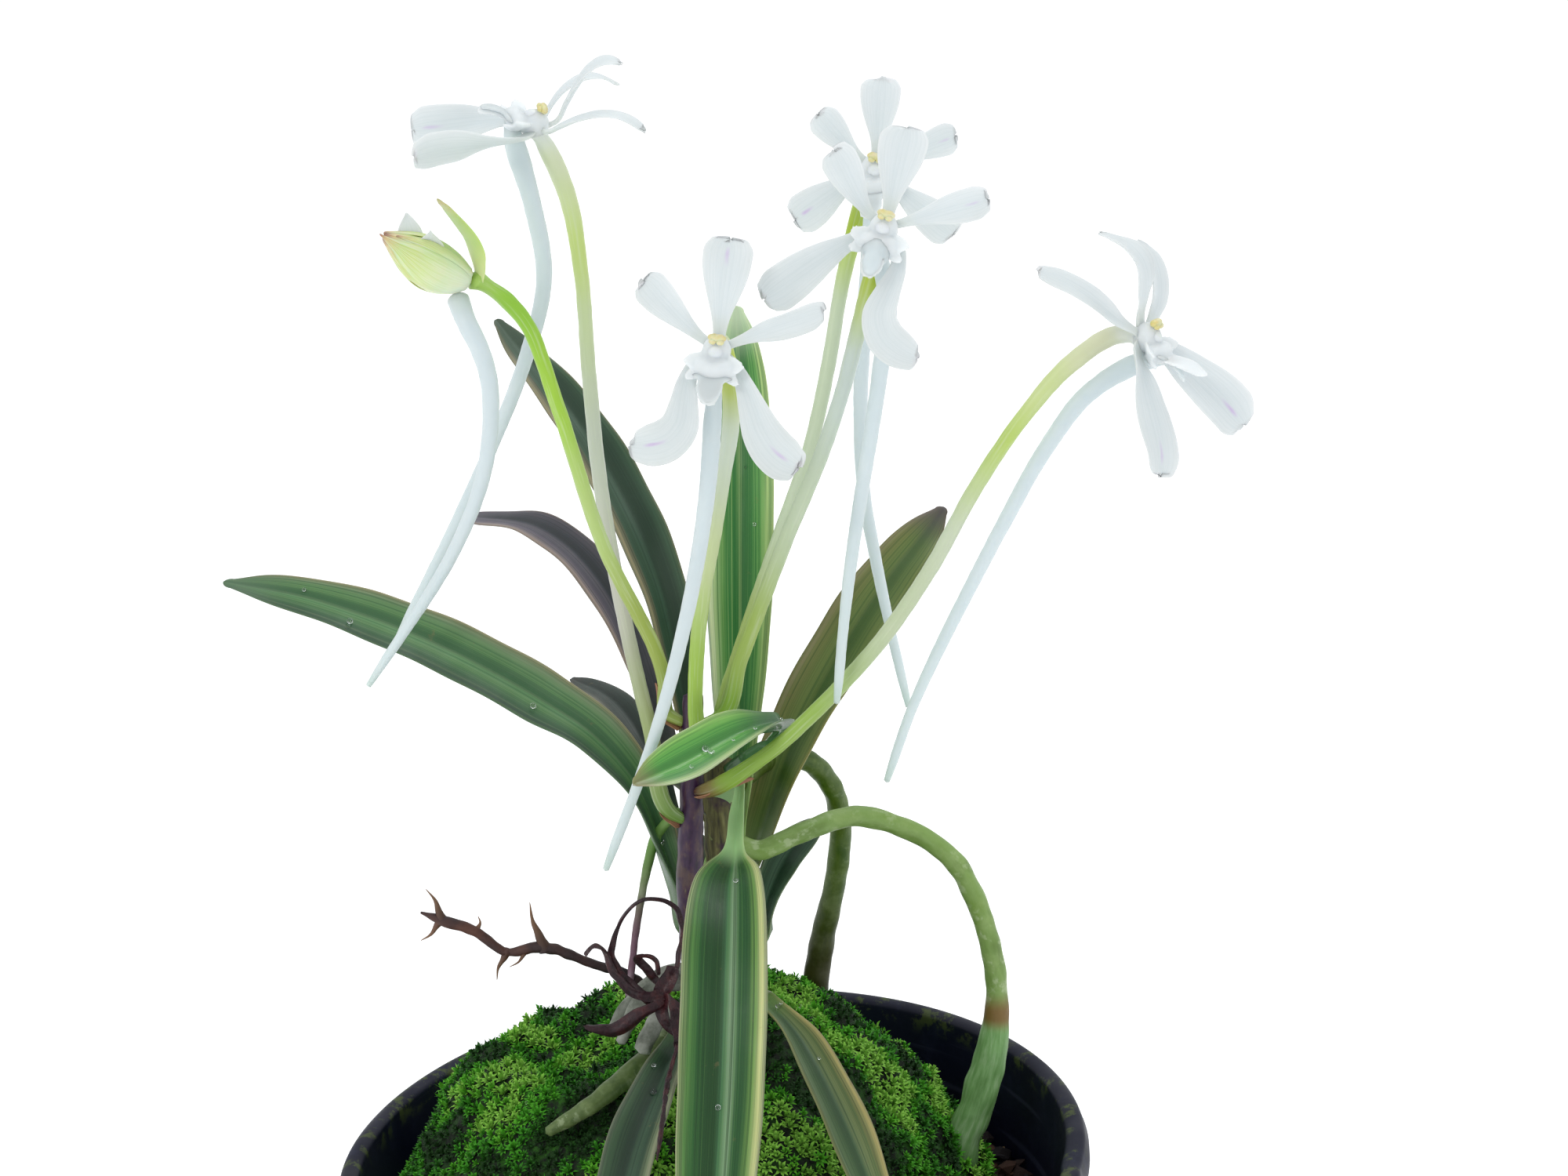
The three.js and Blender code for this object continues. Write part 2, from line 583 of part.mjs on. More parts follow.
function tepal([baseAngle, tipAngle, share, lean, curl, wide, twist, bow = 0]) {
  const length = TEPAL_LENGTH * share;
  const along = (u) => {
    const a = rad(lerp(baseAngle, tipAngle, u * (2 - u)) + bow * Math.sin(Math.PI * Math.min(1, u)));
    const out = TEPAL_START + length * (Math.cos(rad(lean)) * u - 0.1 * curl * u * u);
    const forward = length * (Math.sin(rad(lean)) * u + 0.12 * u - curl * 0.42 * u * u * u);
    return spot(forward - 0.4, out * Math.cos(a), out * Math.sin(a));
  };
  const rings = tepalStops.map((u) => {
    const t = along(u + 0.01).sub(along(u - 0.01)).normalize();
    const side = t.clone().cross(V(0, -1, 0)).normalize();
    side.applyAxisAngle(t, rad(twist * Math.min(1, u * 1.8)));
    const face = side.clone().cross(t);
    const half = (TEPAL_WIDTH / 2) * wide * table(tepalWidth, u);
    const thick = TEPAL_THICKNESS * lerp(1.3, 0.8, u);
    return strapRing(along(u), side, face, half, rad(lerp(14, 6, u)), thick);
  });
  return skin(along(0), rings, along(1));
}

// Lip and spur in one piece: [distance past the mouth, half width, half height].
const lipProfile = [
  [-0.2, 1.15, 1.05], [0.7, 1.5, 0.85], [1.6, 2.15, 0.45], [2.4, 2.1, 0.4], [3.1, 1.45, 0.36],
  [4.4, 1.4, 0.3], [5.5, 0.7, 0.25],
];
function lipAndSpur(spur) {
  const lip = [
    [-1.9, -3], [-0.4, -2.75], [1.4, -2.7], [2.9, -3.4], [3.7, -4.8], [3.9, -6],
  ].map(([out, up]) => spot(out, up));
  const way = [...spur.reverse(), ...lip];
  const curve = curveOf(way);
  const length = curve.getLength();
  let mouth = 0;
  for (let i = 0; i <= 400; i++) {
    const here = curve.getPointAt(i / 400).distanceTo(lip[1]);
    if (here < curve.getPointAt(mouth).distanceTo(lip[1])) mouth = i / 400;
  }
  const spurLength = mouth * length;
  const stops = [0.25, 2, 7, 13, 19, 26, 33, 39.5].map((d) => (d * (spurLength - 1.5)) / 44);
  const rings = [];
  const ringAt = (d, w, h) => {
    const u = Math.min(d / length, 1);
    const t = curve.getTangentAt(u);
    const side = V(1, 0, 0).addScaledVector(t, -t.x).normalize();
    const other = t.clone().cross(side);
    const c = curve.getPointAt(u);
    rings.push(
      [...Array(8).keys()].map((j) => {
        const a = (2 * Math.PI * j) / 8;
        return c.clone().addScaledVector(side, w * Math.cos(a)).addScaledVector(other, h * Math.sin(a));
      }),
    );
  };
  for (const d of stops) {
    const r = SPUR_RADIUS * table(
      [[0, 0.28], [0.03, 0.42], [0.3, 0.62], [0.7, 0.78], [0.9, 0.92], [1, 1]], d / spurLength,
    );
    ringAt(d, r, r);
  }
  for (const [d, w, h] of lipProfile) ringAt(spurLength + d, w, h);
  return skin(curve.getPointAt(0), rings, curve.getPointAt(Math.min(1, (spurLength + 6) / length)));
}

for (const [name, flower] of Object.entries(flowers)) {
  const group = flowerGroup(flower);
  const local = (p) => inside(group, p);
  for (const [part, row] of Object.entries({ ...usual, ...flower.tepals })) {
    add(group, `${name}_${part}`, looks.tepal, tepal(row));
  }
  add(group, `${name}_lip_and_spur`, looks.tepal, lipAndSpur(flower.spur.map(at).map(local)));
  const start = rachisSide(...flower.from);
  const stalk = [
    ...[start, ...flower.stalk.map(at)].map(local), spot(-3.2, 0.5), spot(-0.6, 0), spot(1.9, -0.2),
  ];
  add(
    group, `${name}_stalk_and_column`, looks.stalk,
    rod(stalk, (d, l) => stalkRadius(l - d), stalkStops),
  );
}

// ---- the half-open bud ----
const bud = {
  centre: [-18.6, 8, 118],
  facing: [-0.76, -0.34, 0.56],
  top: [0.5, 0.1, 0.86],
  stalk: [[-1.2, 0.4, 73.5], [-6.7, 4.4, 86.9], [-10.6, 7.4, 102.9], [-13.7, 8.6, 113.2]],
  from: [170, 67.5],
  spur: [
    [-19.8, 5, 114.2], [-17.7, 3.4, 108], [-18.9, 2.6, 97.9], [-23.4, 2.6, 88.2], [-35.1, 4, 72.3],
  ],
};
const budGroup = flowerGroup(bud);
const budProfile = [
  [0, 0.42], [0.12, 0.72], [0.35, 1], [0.6, 0.92], [0.82, 0.56], [0.95, 0.26], [1, 0.16],
];
const budPath = [spot(0.6, -0.6), spot(4, -0.9), spot(8, -0.6), spot(11.6, -0.3)];
add(budGroup, "bud_body", looks.bud, rod(budPath, (d, l) => BUD_RADIUS * table(budProfile, d / l), 10));

const sepalCurve = curveOf([spot(0.3, 1.7), spot(2.4, 3.6), spot(4.8, 4.7), spot(8, 5.9)]);
const sepalRings = [0, 0.12, 0.26, 0.4, 0.56, 0.72, 0.86, 0.95].map((u) => {
  const t = sepalCurve.getTangentAt(u);
  const side = V(1, 0, 0);
  const half = 1.7 * table([[0, 0.5], [0.3, 0.95], [0.6, 1], [0.85, 0.6], [1, 0.3]], u);
  return strapRing(
    sepalCurve.getPointAt(u), side, side.clone().cross(t), half, rad(-24), TEPAL_THICKNESS,
  );
});
add(
  budGroup, "bud_open_sepal", looks.bud,
  skin(sepalCurve.getPointAt(0), sepalRings, sepalCurve.getPointAt(1)),
);

const spurProfile = [[0, 1.1], [0.1, 0.95], [0.3, 0.8], [0.7, 0.62], [0.97, 0.42], [1, 0.28]];
const budSpur = [spot(0.4, -3), ...bud.spur.map((p) => inside(budGroup, at(p)))];
add(
  budGroup, "bud_spur", looks.tepal,
  rod(budSpur, (d, l) => SPUR_RADIUS * table(spurProfile, d / l), 14),
);
const budStalk = [
  ...[rachisSide(...bud.from), ...bud.stalk.map(at)].map((p) => inside(budGroup, p)), spot(-0.9, 0),
];
const budStalkProfile = [[0, 1.25], [2, 1.2], [8, 1.05], [30, 1]];
add(
  budGroup, "bud_stalk", looks.stalk,
  rod(budStalk, (d, l) => STALK_RADIUS * table(budStalkProfile, l - d), 14),
);

// ---- dried flower and thorny twig ----
function tangle(name, look, strands) {
  let all = null;
  for (const [points, thick, thin] of strands) {
    const rings = Math.max(3, points.length * 2 - 1);
    const one = solid(rod(points.map(at), (d, l) => lerp(thick, thin, d / l), rings, 5));
    all = all ? all.add(one) : one;
  }
  moss = moss.subtract(all.translate([0, 0, -FIT_GAP]));
  add(plant, name, look, surface(all), at(strands[0][0][0]));
}
tangle("dried_flower", looks.dried, [
  [[[-2.4, -8.6, 40], [-3.6, -9.6, 37.4], [-3.4, -11, 34.6], [-1.2, -12.4, 32.4]], 0.95, 1.1],
  [
    [
      [-2.4, -8.6, 40], [-1.2, -7, 43], [-1.8, -6.4, 46.2], [-5.2, -7, 47.7], [-8.3, -8, 44.6],
      [-8.9, -8.6, 40.4], [-5.6, -10, 36.8],
    ],
    0.5, 0.4,
  ],
  [
    [[-3.4, -10, 37], [-6.4, -10.4, 37.4], [-9, -9.6, 40], [-11, -9, 43.4], [-12.2, -8.6, 42.4]], 0.6,
    0.35,
  ],
  [[[-3.4, -10.4, 36.4], [-6.8, -11.4, 35.2], [-9.6, -12, 34.2], [-12.6, -12.2, 35]], 0.9, 0.45],
  [[[-3, -10.8, 35.4], [-1, -12.4, 33.6], [0.8, -13.4, 30.8], [2, -13.8, 29.2]], 1.1, 0.5],
]);
const thorn = (foot, tip) => [
  [foot, [(foot[0] * 2 + tip[0]) / 3, foot[1], (foot[2] * 2 + tip[2]) / 3 + 0.3], tip], 0.8, 0.1,
];
tangle("thorny_twig", looks.twig, [
  [
    [
      [-7.6, 1.4, 34.4], [-12.4, 0.4, 37.2], [-18.1, 0, 39.9], [-22, 0, 39.6], [-25.6, 0, 42.6],
      [-29.6, 0, 44.4],
    ],
    0.75, 0.6,
  ],
  thorn([-17.6, 0, 39.8], [-18.8, 0, 45.6]),
  thorn([-22, 0, 39.6], [-23.6, 0.4, 36]),
  thorn([-19.6, 0, 39.8], [-21.8, -1.2, 38.2]),
  thorn([-25.4, 0, 42.4], [-25, 0.4, 44.2]),
  thorn([-29.4, 0, 44.2], [-32, 0.6, 41.6]),
  thorn([-29.2, 0, 44.2], [-30.6, -0.4, 48.4]),
]);
add(plant, "moss", looks.moss, surface(moss));

export default root;
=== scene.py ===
"""A flowering falcate orchid in a nursery pot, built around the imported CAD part.

Shapes are worked out in millimetres from the rings of the CAD solids, and scaled to metres when a mesh is made.
"""

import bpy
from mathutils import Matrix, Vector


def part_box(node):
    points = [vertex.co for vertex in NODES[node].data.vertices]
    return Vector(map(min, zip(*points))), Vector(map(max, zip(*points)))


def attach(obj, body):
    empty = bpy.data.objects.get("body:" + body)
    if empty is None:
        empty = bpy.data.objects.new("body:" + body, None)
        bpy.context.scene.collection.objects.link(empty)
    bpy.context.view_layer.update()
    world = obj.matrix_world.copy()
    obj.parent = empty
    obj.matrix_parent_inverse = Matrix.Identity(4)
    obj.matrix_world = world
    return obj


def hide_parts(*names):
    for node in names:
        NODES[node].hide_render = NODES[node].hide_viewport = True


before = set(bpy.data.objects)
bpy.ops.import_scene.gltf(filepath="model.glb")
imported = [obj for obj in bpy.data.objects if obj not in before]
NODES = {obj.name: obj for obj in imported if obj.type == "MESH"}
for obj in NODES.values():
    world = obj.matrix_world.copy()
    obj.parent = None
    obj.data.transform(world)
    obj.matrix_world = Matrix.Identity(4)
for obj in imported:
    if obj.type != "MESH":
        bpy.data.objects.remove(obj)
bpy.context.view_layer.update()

import itertools
import math

import bmesh
import bpy
import numpy as np
from mathutils import Matrix, Vector, noise

MM = 0.001
TAU = 2 * math.pi
scene = bpy.context.scene

# Camera, in degrees and metres, with its lens in mm.
ELEVATION, ROLL, DISTANCE = 17, 4.3, 0.355
TARGET = Vector((0.0135, 0, 0.1485))
LENS, SENSOR = 72, 36
FLOOR_HALF, FLOOR_GLOW = 9.0, 0.28

# Points in mm that tell which end of a CAD piece comes first.
STEM_FOOT, MID_STEM = np.array([4.6, 3.6, 90]), np.array([4.3, 3.4, 105])
RACHIS_FOOT, MID_RACHIS = np.array([2, 0, 100.0]), np.array([2, 0, 130.0])

SIDES = 8  # points in each ring of the lofted CAD pieces
WELD = 2e-6
MEDIUM_VOXEL, MOSS_VOXEL, LIP_VOXEL = 0.0016, 0.0009, 0.0002
CHIP_COUNT, CHIP_FLATNESS = 1500, 0.45
SHOOT_TRIES, SHOOT_CELL, SHOOT_GAP_SQUARED = 26000, 0.92, 0.8
MOSS_DROPS = 26
# Painted light: the lip lobes glow faintly, which lifts the shade between them.
LIP_GLOW = 0.07


# ---------------------------------------------------------------- camera, light, floor
def set_stage():
    elevation, roll = math.radians(ELEVATION), math.radians(ROLL)
    ahead = Vector((0, math.cos(elevation), -math.sin(elevation)))
    up = Vector((0, math.sin(elevation), math.cos(elevation)))
    right = Vector((1, 0, 0))
    cam_x = right * math.cos(roll) - up * math.sin(roll)
    cam_y = right * math.sin(roll) + up * math.cos(roll)
    data = bpy.data.cameras.new("camera")
    data.lens, data.sensor_width = LENS, SENSOR
    data.clip_start, data.clip_end = 0.01, 50
    cam = bpy.data.objects.new("camera", data)
    scene.collection.objects.link(cam)
    place = TARGET - ahead * DISTANCE
    rows = [(cam_x[i], cam_y[i], -ahead[i], place[i]) for i in range(3)]
    cam.matrix_world = Matrix([*rows, (0, 0, 0, 1)])
    scene.camera = cam

    world = bpy.data.worlds.new("studio")
    scene.world = world
    world.use_nodes = True
    back = world.node_tree.nodes["Background"]
    back.inputs["Color"].default_value = (0.97, 0.99, 1.0, 1)
    back.inputs["Strength"].default_value = 0.8

    def softbox(name, place, size, watts, tint):
        lamp = bpy.data.lights.new(name, "AREA")
        lamp.shape, lamp.size, lamp.energy, lamp.color = "DISK", size, watts, tint
        obj = bpy.data.objects.new(name, lamp)
        obj.location = place
        aim = TARGET - Vector(place)
        obj.rotation_euler = aim.to_track_quat("-Z", "Y").to_euler()
        scene.collection.objects.link(obj)

    softbox("key", (-0.55, -0.75, 0.95), 0.45, 2.7, (1.0, 0.99, 0.97))
    softbox("top", (0.3, 0.35, 1.15), 0.6, 3.2, (0.97, 0.99, 1.0))

    mesh = bpy.data.meshes.new("floor")
    square = [(x * FLOOR_HALF, y * FLOOR_HALF, 0) for x, y in ((-1, -1), (1, -1), (1, 1), (-1, 1))]
    mesh.from_pydata(square, [], [(0, 1, 2, 3)])
    floor = bpy.data.objects.new("floor", mesh)
    scene.collection.objects.link(floor)
    m = Look("floor_paper", roughness=0.9, Emission_Strength=FLOOR_GLOW, Emission_Color=(1, 1, 1, 1))
    m.colour(m.mix(m.noise(3.0, 2.0), "fbfcfd", "ffffff"))
    m.put(floor)
    scene.view_settings.view_transform = "Standard"
    scene.view_settings.look = "None"


# ---------------------------------------------------------------- materials
def srgb(code):
    """Linear colour of an #rrggbb code."""
    parts = [int(code[i : i + 2], 16) / 255 for i in (0, 2, 4)]
    return tuple(c / 12.92 if c <= 0.04045 else ((c + 0.055) / 1.055) ** 2.4 for c in parts) + (1.0,)


class Look:
    """A Principled material with short ways to add the nodes used here."""

    def __init__(self, name, roughness=0.5, soft=(), **sockets):
        """soft gives the subsurface weight, scale and, where it isn't the usual one, radius."""
        self.material = bpy.data.materials.new(name)
        self.material.use_nodes = True
        self.tree = self.material.node_tree
        self.shader = self.tree.nodes["Principled BSDF"]
        self.shader.inputs["Roughness"].default_value = roughness
        sockets.update(zip(("Subsurface_Weight", "Subsurface_Scale", "Subsurface_Radius"), soft))
        for key, value in sockets.items():
            self.shader.inputs[key.replace("_", " ")].default_value = value
        self.space = self.own = None

    def node(self, kind, **values):
        made = self.tree.nodes.new("ShaderNode" + kind)
        for key, value in values.items():
            setattr(made, key, value)
        return made

    def feed(self, socket, value):
        """Links or sets a socket; a text is an rrggbb colour."""
        if isinstance(value, bpy.types.NodeSocket):
            self.tree.links.new(value, socket)
        else:
            socket.default_value = srgb(value) if isinstance(value, str) else value

    def place(self):
        if self.space is None:
            self.space = self.node("TexCoord").outputs["Object"]
        return self.space

    def strap(self):
        """The piece's own coordinates: across or round, along, and side or distance."""
        attr = self.node("Attribute", attribute_name="strap")
        parts = self.node("SeparateXYZ")
        self.feed(parts.inputs[0], attr.outputs["Vector"])
        self.own = attr.outputs["Vector"]
        return parts.outputs[:3]

    def value(self, name):
        return self.node("Attribute", attribute_name=name).outputs["Fac"]

    def scaled(self, vector, scale):
        made = self.node("Mapping")
        self.feed(made.inputs["Vector"], vector)
        made.inputs["Scale"].default_value = scale
        return made.outputs[0]

    def noise(self, scale, detail=3.0, vector=None, rough=0.55):
        made = self.node("TexNoise")
        self.feed(made.inputs["Vector"], self.place() if vector is None else vector)
        made.inputs["Scale"].default_value = scale
        made.inputs["Detail"].default_value = detail
        made.inputs["Roughness"].default_value = rough
        made.inputs["Distortion"].default_value = 0.0
        return made.outputs["Fac"]

    def grain(self, across, along, detail=3, rough=0.55):
        """Noise in the coordinates of strap, at its own scale across and along."""
        if self.own is None:
            self.strap()
        return self.noise(1.0, detail, self.scaled(self.own, (across, along, 0)), rough)

    def maths(self, work, a, b=0.0, c=0.0):
        made = self.node("Math", operation=work)
        for socket, value in zip(made.inputs, (a, b, c)):
            self.feed(socket, value)
        return made.outputs[0]

    def span(self, value, low, high, to_low=0.0, to_high=1.0):
        made = self.node("MapRange", interpolation_type="SMOOTHSTEP")
        for socket, v in zip(made.inputs, (value, low, high, to_low, to_high)):
            self.feed(socket, v)
        return made.outputs[0]

    def ramp(self, factor, stops, smooth="LINEAR"):
        """Colours between stops, given as a text of places and rrggbb codes."""
        words = stops.split()
        made = self.node("ValToRGB")
        made.color_ramp.interpolation = smooth
        bars = made.color_ramp.elements
        while len(bars) < len(words) // 2:
            bars.new(0.5)
        for bar, spot in zip(bars, words[::2]):
            bar.position = float(spot)
        for bar, code in zip(bars, words[1::2]):
            bar.color = srgb(code)
        self.feed(made.inputs[0], factor)
        return made.outputs[0]

    def mix(self, factor, a, b):
        made = self.node("Mix", data_type="RGBA")
        self.feed(made.inputs[0], factor)
        self.feed(made.inputs[6], a)
        self.feed(made.inputs[7], b)
        return made.outputs[2]

    def over(self, under, colour, factor, share):
        """A colour laid over another where the factor is high, up to a share."""
        return self.mix(self.maths("MULTIPLY", factor, share), under, colour)

    def colour(self, value):
        self.feed(self.shader.inputs["Base Color"], value)

    def rough(self, value):
        self.feed(self.shader.inputs["Roughness"], value)

    def bump(self, height, strength, distance_mm):
        made = self.node("Bump")
        made.inputs["Strength"].default_value = strength
        made.inputs["Distance"].default_value = distance_mm * MM
        self.feed(made.inputs["Height"], height)
        if self.shader.inputs["Normal"].is_linked:
            self.feed(made.inputs["Normal"], self.shader.inputs["Normal"].links[0].from_socket)
        self.feed(self.shader.inputs["Normal"], made.outputs[0])

    def put(self, obj):
        obj.data.materials.clear()
        obj.data.materials.append(self.material)


# ---------------------------------------------------------------- meshes
def new_mesh(name, points, faces):
    """A mesh of points given in mm."""
    mesh = bpy.data.meshes.new(name)
    mesh.from_pydata((np.asarray(points) * MM).tolist(), [], [tuple(f) for f in faces])
    return mesh


def piece(name, shape, look, slot=None, stands_for=(), smooth=True, **attributes):
    """Makes an object of a shape (points in mm, faces, and often strap), that rides on the root body."""
    mesh = new_mesh(name, *shape[:2])
    if len(shape) == 3:
        attributes = {"strap": shape[2], **attributes}
    for key, values in attributes.items():
        values = np.asarray(values, np.float32)
        if values.ndim == 2:
            mesh.attributes.new(key, "FLOAT_VECTOR", "POINT").data.foreach_set("vector", values.ravel())
        else:
            mesh.attributes.new(key, "FLOAT", "POINT").data.foreach_set("value", values)
    if smooth:
        mesh.polygons.foreach_set("use_smooth", [True] * len(mesh.polygons))
    mesh.update()
    obj = bpy.data.objects.new(name, mesh)
    scene.collection.objects.link(obj)
    look.put(obj)
    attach(obj, "root")
    if stands_for:
        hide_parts(*stands_for)


def joined(parts):
    """Several (points, faces, strap) as one."""
    points, faces, strap, base = [], [], [], 0
    for p, f, s in parts:
        points.append(p)
        strap.append(s)
        faces += [tuple(i + base for i in face) for face in f]
        base += len(p)
    return np.vstack(points), faces, np.vstack(strap)


def bands(n, m):
    """Faces between n rings of m points."""
    starts = range(0, (n - 1) * m, m)
    return [(a + j, a + (j + 1) % m, a + m + (j + 1) % m, a + m + j) for a in starts for j in range(m)]


def corners(vertices):
    return np.array([v.co for v in vertices]) / MM


def loft(rings, first, last):
    """Skin over rings (n, m, 3) closed to a point at both ends, facing out."""
    n, m = rings.shape[:2]
    points = np.vstack([rings.reshape(-1, 3), [first, last]])
    faces = bands(n, m)
    start, end, top = n * m, n * m + 1, (n - 1) * m
    faces += [(start, (j + 1) % m, j) for j in range(m)]
    faces += [(end, top + j, top + (j + 1) % m) for j in range(m)]
    fans = [(f[0], f[i], f[i + 1]) for f in faces for i in range(1, len(f) - 1)]
    volume = sum(float(np.dot(points[i], np.cross(points[j], points[k]))) for i, j, k in fans)
    if volume < 0:
        faces = [tuple(reversed(f)) for f in faces]
    return points, faces


def stacked(*parts):
    """Rows of values from arrays that broadcast to rings of points."""
    return np.stack(np.broadcast_arrays(*parts), -1).reshape(-1, len(parts))


def unit(v):
    v = np.asarray(v, float)
    return v / np.linalg.norm(v, axis=-1, keepdims=True)


def eased(keys, values, at):
    """Smooth curve through values (n, k) at keys, read at the places asked for."""
    keys, values, at = np.asarray(keys, float), np.asarray(values, float), np.asarray(at, float)
    flat = values.ndim == 1
    values = values[:, None] if flat else values
    h = np.diff(keys)[:, None]
    slope = np.diff(values, axis=0) / h
    tangent = np.empty_like(values)
    tangent[0], tangent[-1] = slope[0], slope[-1]
    tangent[1:-1] = (slope[:-1] * h[1:] + slope[1:] * h[:-1]) / (h[1:] + h[:-1])
    i = np.clip(np.searchsorted(keys, at, "right") - 1, 0, len(keys) - 2)
    t = (np.clip(at, keys[0], keys[-1]) - keys[i])[:, None] / h[i]
    a, b = 2 * t**3 - 3 * t**2 + 1, t**3 - 2 * t**2 + t
    c, d = -2 * t**3 + 3 * t**2, t**3 - t**2
    out = a * values[i] + b * h[i] * tangent[i] + c * values[i + 1] + d * h[i] * tangent[i + 1]
    return out[:, 0] if flat else out


def lengths(points):
    return np.concatenate([[0], np.cumsum(np.linalg.norm(np.diff(points, axis=0), axis=1))])


def read_rings(node, near):
    """The rings of points that a CAD solid was lofted from, in mm, in order from the end that is nearer to a point."""
    bm = bmesh.new()
    bm.from_mesh(NODES[node].data)
    bmesh.ops.remove_doubles(bm, verts=bm.verts, dist=WELD)
    bm.verts.ensure_lookup_table()
    at = corners(bm.verts)
    links = [[e.other_vert(v).index for e in v.link_edges] for v in bm.verts]
    bm.free()
    ends = [i for i, near_by in enumerate(links) if len(near_by) == SIDES]
    ends.sort(key=lambda i: np.linalg.norm(at[i] - near))
    seen, layer, layers = {ends[0]}, [ends[0]], []
    while layer:
        layer = sorted({j for i in layer for j in links[i]} - seen)
        seen |= set(layer)
        if layer:
            layers.append(layer)
    rings = []
    for layer in layers[:-1]:
        walk, left = [layer[0]], set(layer[1:])
        while left:
            step = [j for j in links[walk[-1]] if j in left]
            if not step:
                break
            walk.append(step[0])
            left.discard(step[0])
        ring = at[walk]
        if rings:
            tries = [np.roll(r, k, axis=0) for r in (ring, ring[::-1]) for k in range(len(ring))]
            ring = min(tries, key=lambda r: float(((r - rings[-1]) ** 2).sum()))
        rings.append(ring)
    return at[ends[0]], np.array(rings), at[layers[-1][0]]


